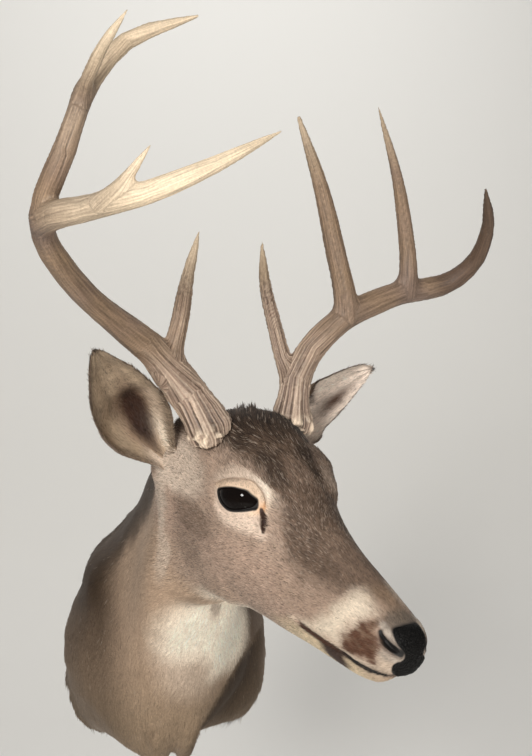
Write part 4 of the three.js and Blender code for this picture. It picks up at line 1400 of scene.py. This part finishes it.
studio = {"floor": -1.02, "backdrop": 2.4, "half": 5.0, "sweep": 0.9, "length": 14,
          "air": (0.97, 0.95, 0.93, 1), "strength": 0.26, "aim": (0.02, -0.35, 0.12)}
lamps = [
    {"name": "key", "at": (-0.75, -2.75, 0.8), "size": 0.5, "power": 56, "tint": (1.0, 0.98, 0.95)},
    {"name": "front", "at": (0.42, -2.6, -0.6), "size": 1.6, "power": 24, "tint": (1.0, 0.955, 0.91)},
    {"name": "back", "at": (-0.5, 2.1, 1.5), "size": 1.4, "power": 26, "tint": (1.0, 1.0, 1.0),
     "aim": (-0.5, -0.35, 1.5)},
    {"name": "rear", "at": (1.5, 1.8, 1.0), "size": 1.4, "power": 26, "tint": (1.0, 1.0, 1.0),
     "aim": (1.5, -0.35, 1.0)},
    {"name": "wall", "at": (0.3, 0.6, 2.4), "size": 1.6, "power": 30, "tint": (1.0, 1.0, 1.0),
     "aim": (0.3, 2.2, -0.2)},
]


def makeStudio():
    bm = bmesh.new()
    bmesh.ops.create_grid(bm, x_segments=2, y_segments=60, size=1)
    rows = np.array([vert.co for vert in bm.verts])
    flat = studio["backdrop"] - studio["sweep"]
    run = (rows[:, 1] + 1) / 2 * studio["length"] - studio["length"] / 2
    angle = np.clip((run - flat) / studio["sweep"], 0, math.pi / 2)
    beyond = np.maximum(run - flat - studio["sweep"] * math.pi / 2, 0)
    y = np.minimum(run, flat) + studio["sweep"] * np.sin(angle)
    z = studio["floor"] + studio["sweep"] * (1 - np.cos(angle)) + beyond
    for vert, place in zip(bm.verts, np.stack([rows[:, 0] * studio["half"], y, z], axis=1)):
        vert.co = place
    mesh = meshOf(bm, "studio")
    mesh.materials.append(newMaterial("studioPaper")[0])
    mesh.shade_smooth()
    objectOf(mesh, "studio")
    for lamp in lamps:
        data = bpy.data.lights.new(lamp["name"], "AREA")
        data.shape = "DISK"
        data.size = lamp["size"]
        data.energy = lamp["power"]
        data.color = lamp["tint"]
        made = objectOf(data, lamp["name"])
        made.location = lamp["at"]
        made.visible_glossy = lamp["size"] < 1
        aim = Vector(lamp.get("aim", studio["aim"])) - Vector(lamp["at"])
        made.rotation_euler = aim.to_track_quat("-Z", "Y").to_euler()
    world = bpy.data.worlds.new("studio")
    bpy.context.scene.world = world
    world.use_nodes = True
    background = world.node_tree.nodes["Background"]
    background.inputs["Color"].default_value = studio["air"]
    background.inputs["Strength"].default_value = studio["strength"]
    bpy.context.scene.view_settings.view_transform = "Standard"


skinFinish = skinMaterial()
skin = makeSkin()
setVectors(skin, "rest", pointsOf(skin))
setVectors(skin, "earSpot", np.zeros((len(skin.vertices), 3)))
shapeFace(skin)
print("skin shaped:", len(skin.polygons), "faces")
earMeshes = [makeEar(side) for side in sides]
counts = [len(mesh.vertices) for mesh in [skin, *earMeshes]]
noseMesh = skin.copy()
skin = joinMeshes([skin, *earMeshes])
skin = unwrap(skin, "OFBake")
print("skin unwrapped:", len(skin.vertices), "points")
places = vectorAttribute(skin, "rest").astype(float)
shades = bodyColours(places)
spots = vectorAttribute(skin, "earSpot")
edges = np.cumsum(counts)
for number, side in enumerate(sides):
    own = slice(edges[number], edges[number + 1])
    shades[own] = earColours(places[own], spots[own])
setColours(skin, shades.clip(0.004, 0.9))
makeCoat(skin, coatMaterial())
# The hair roots want the full mesh, so it is thinned after them.
skin = throughModifiers(skin, ("DECIMATE", {"ratio": skinShape["kept"]}))
print("skin thinned:", sum(len(face.vertices) - 2 for face in skin.polygons), "triangles")
finished(skin, "skin", skinFinish, [*flesh, "ear_right", "ear_left"])
makeNose(noseMesh, noseMaterial())
print("nose done")

bone = boneMaterial()
glass = eyeMaterial()
for side in sides:
    makeAntler(side, bone)
    makeEye(side, glass)
dress("backboard", plywoodMaterial())
makeStudio()
print("eyes, board and studio done")
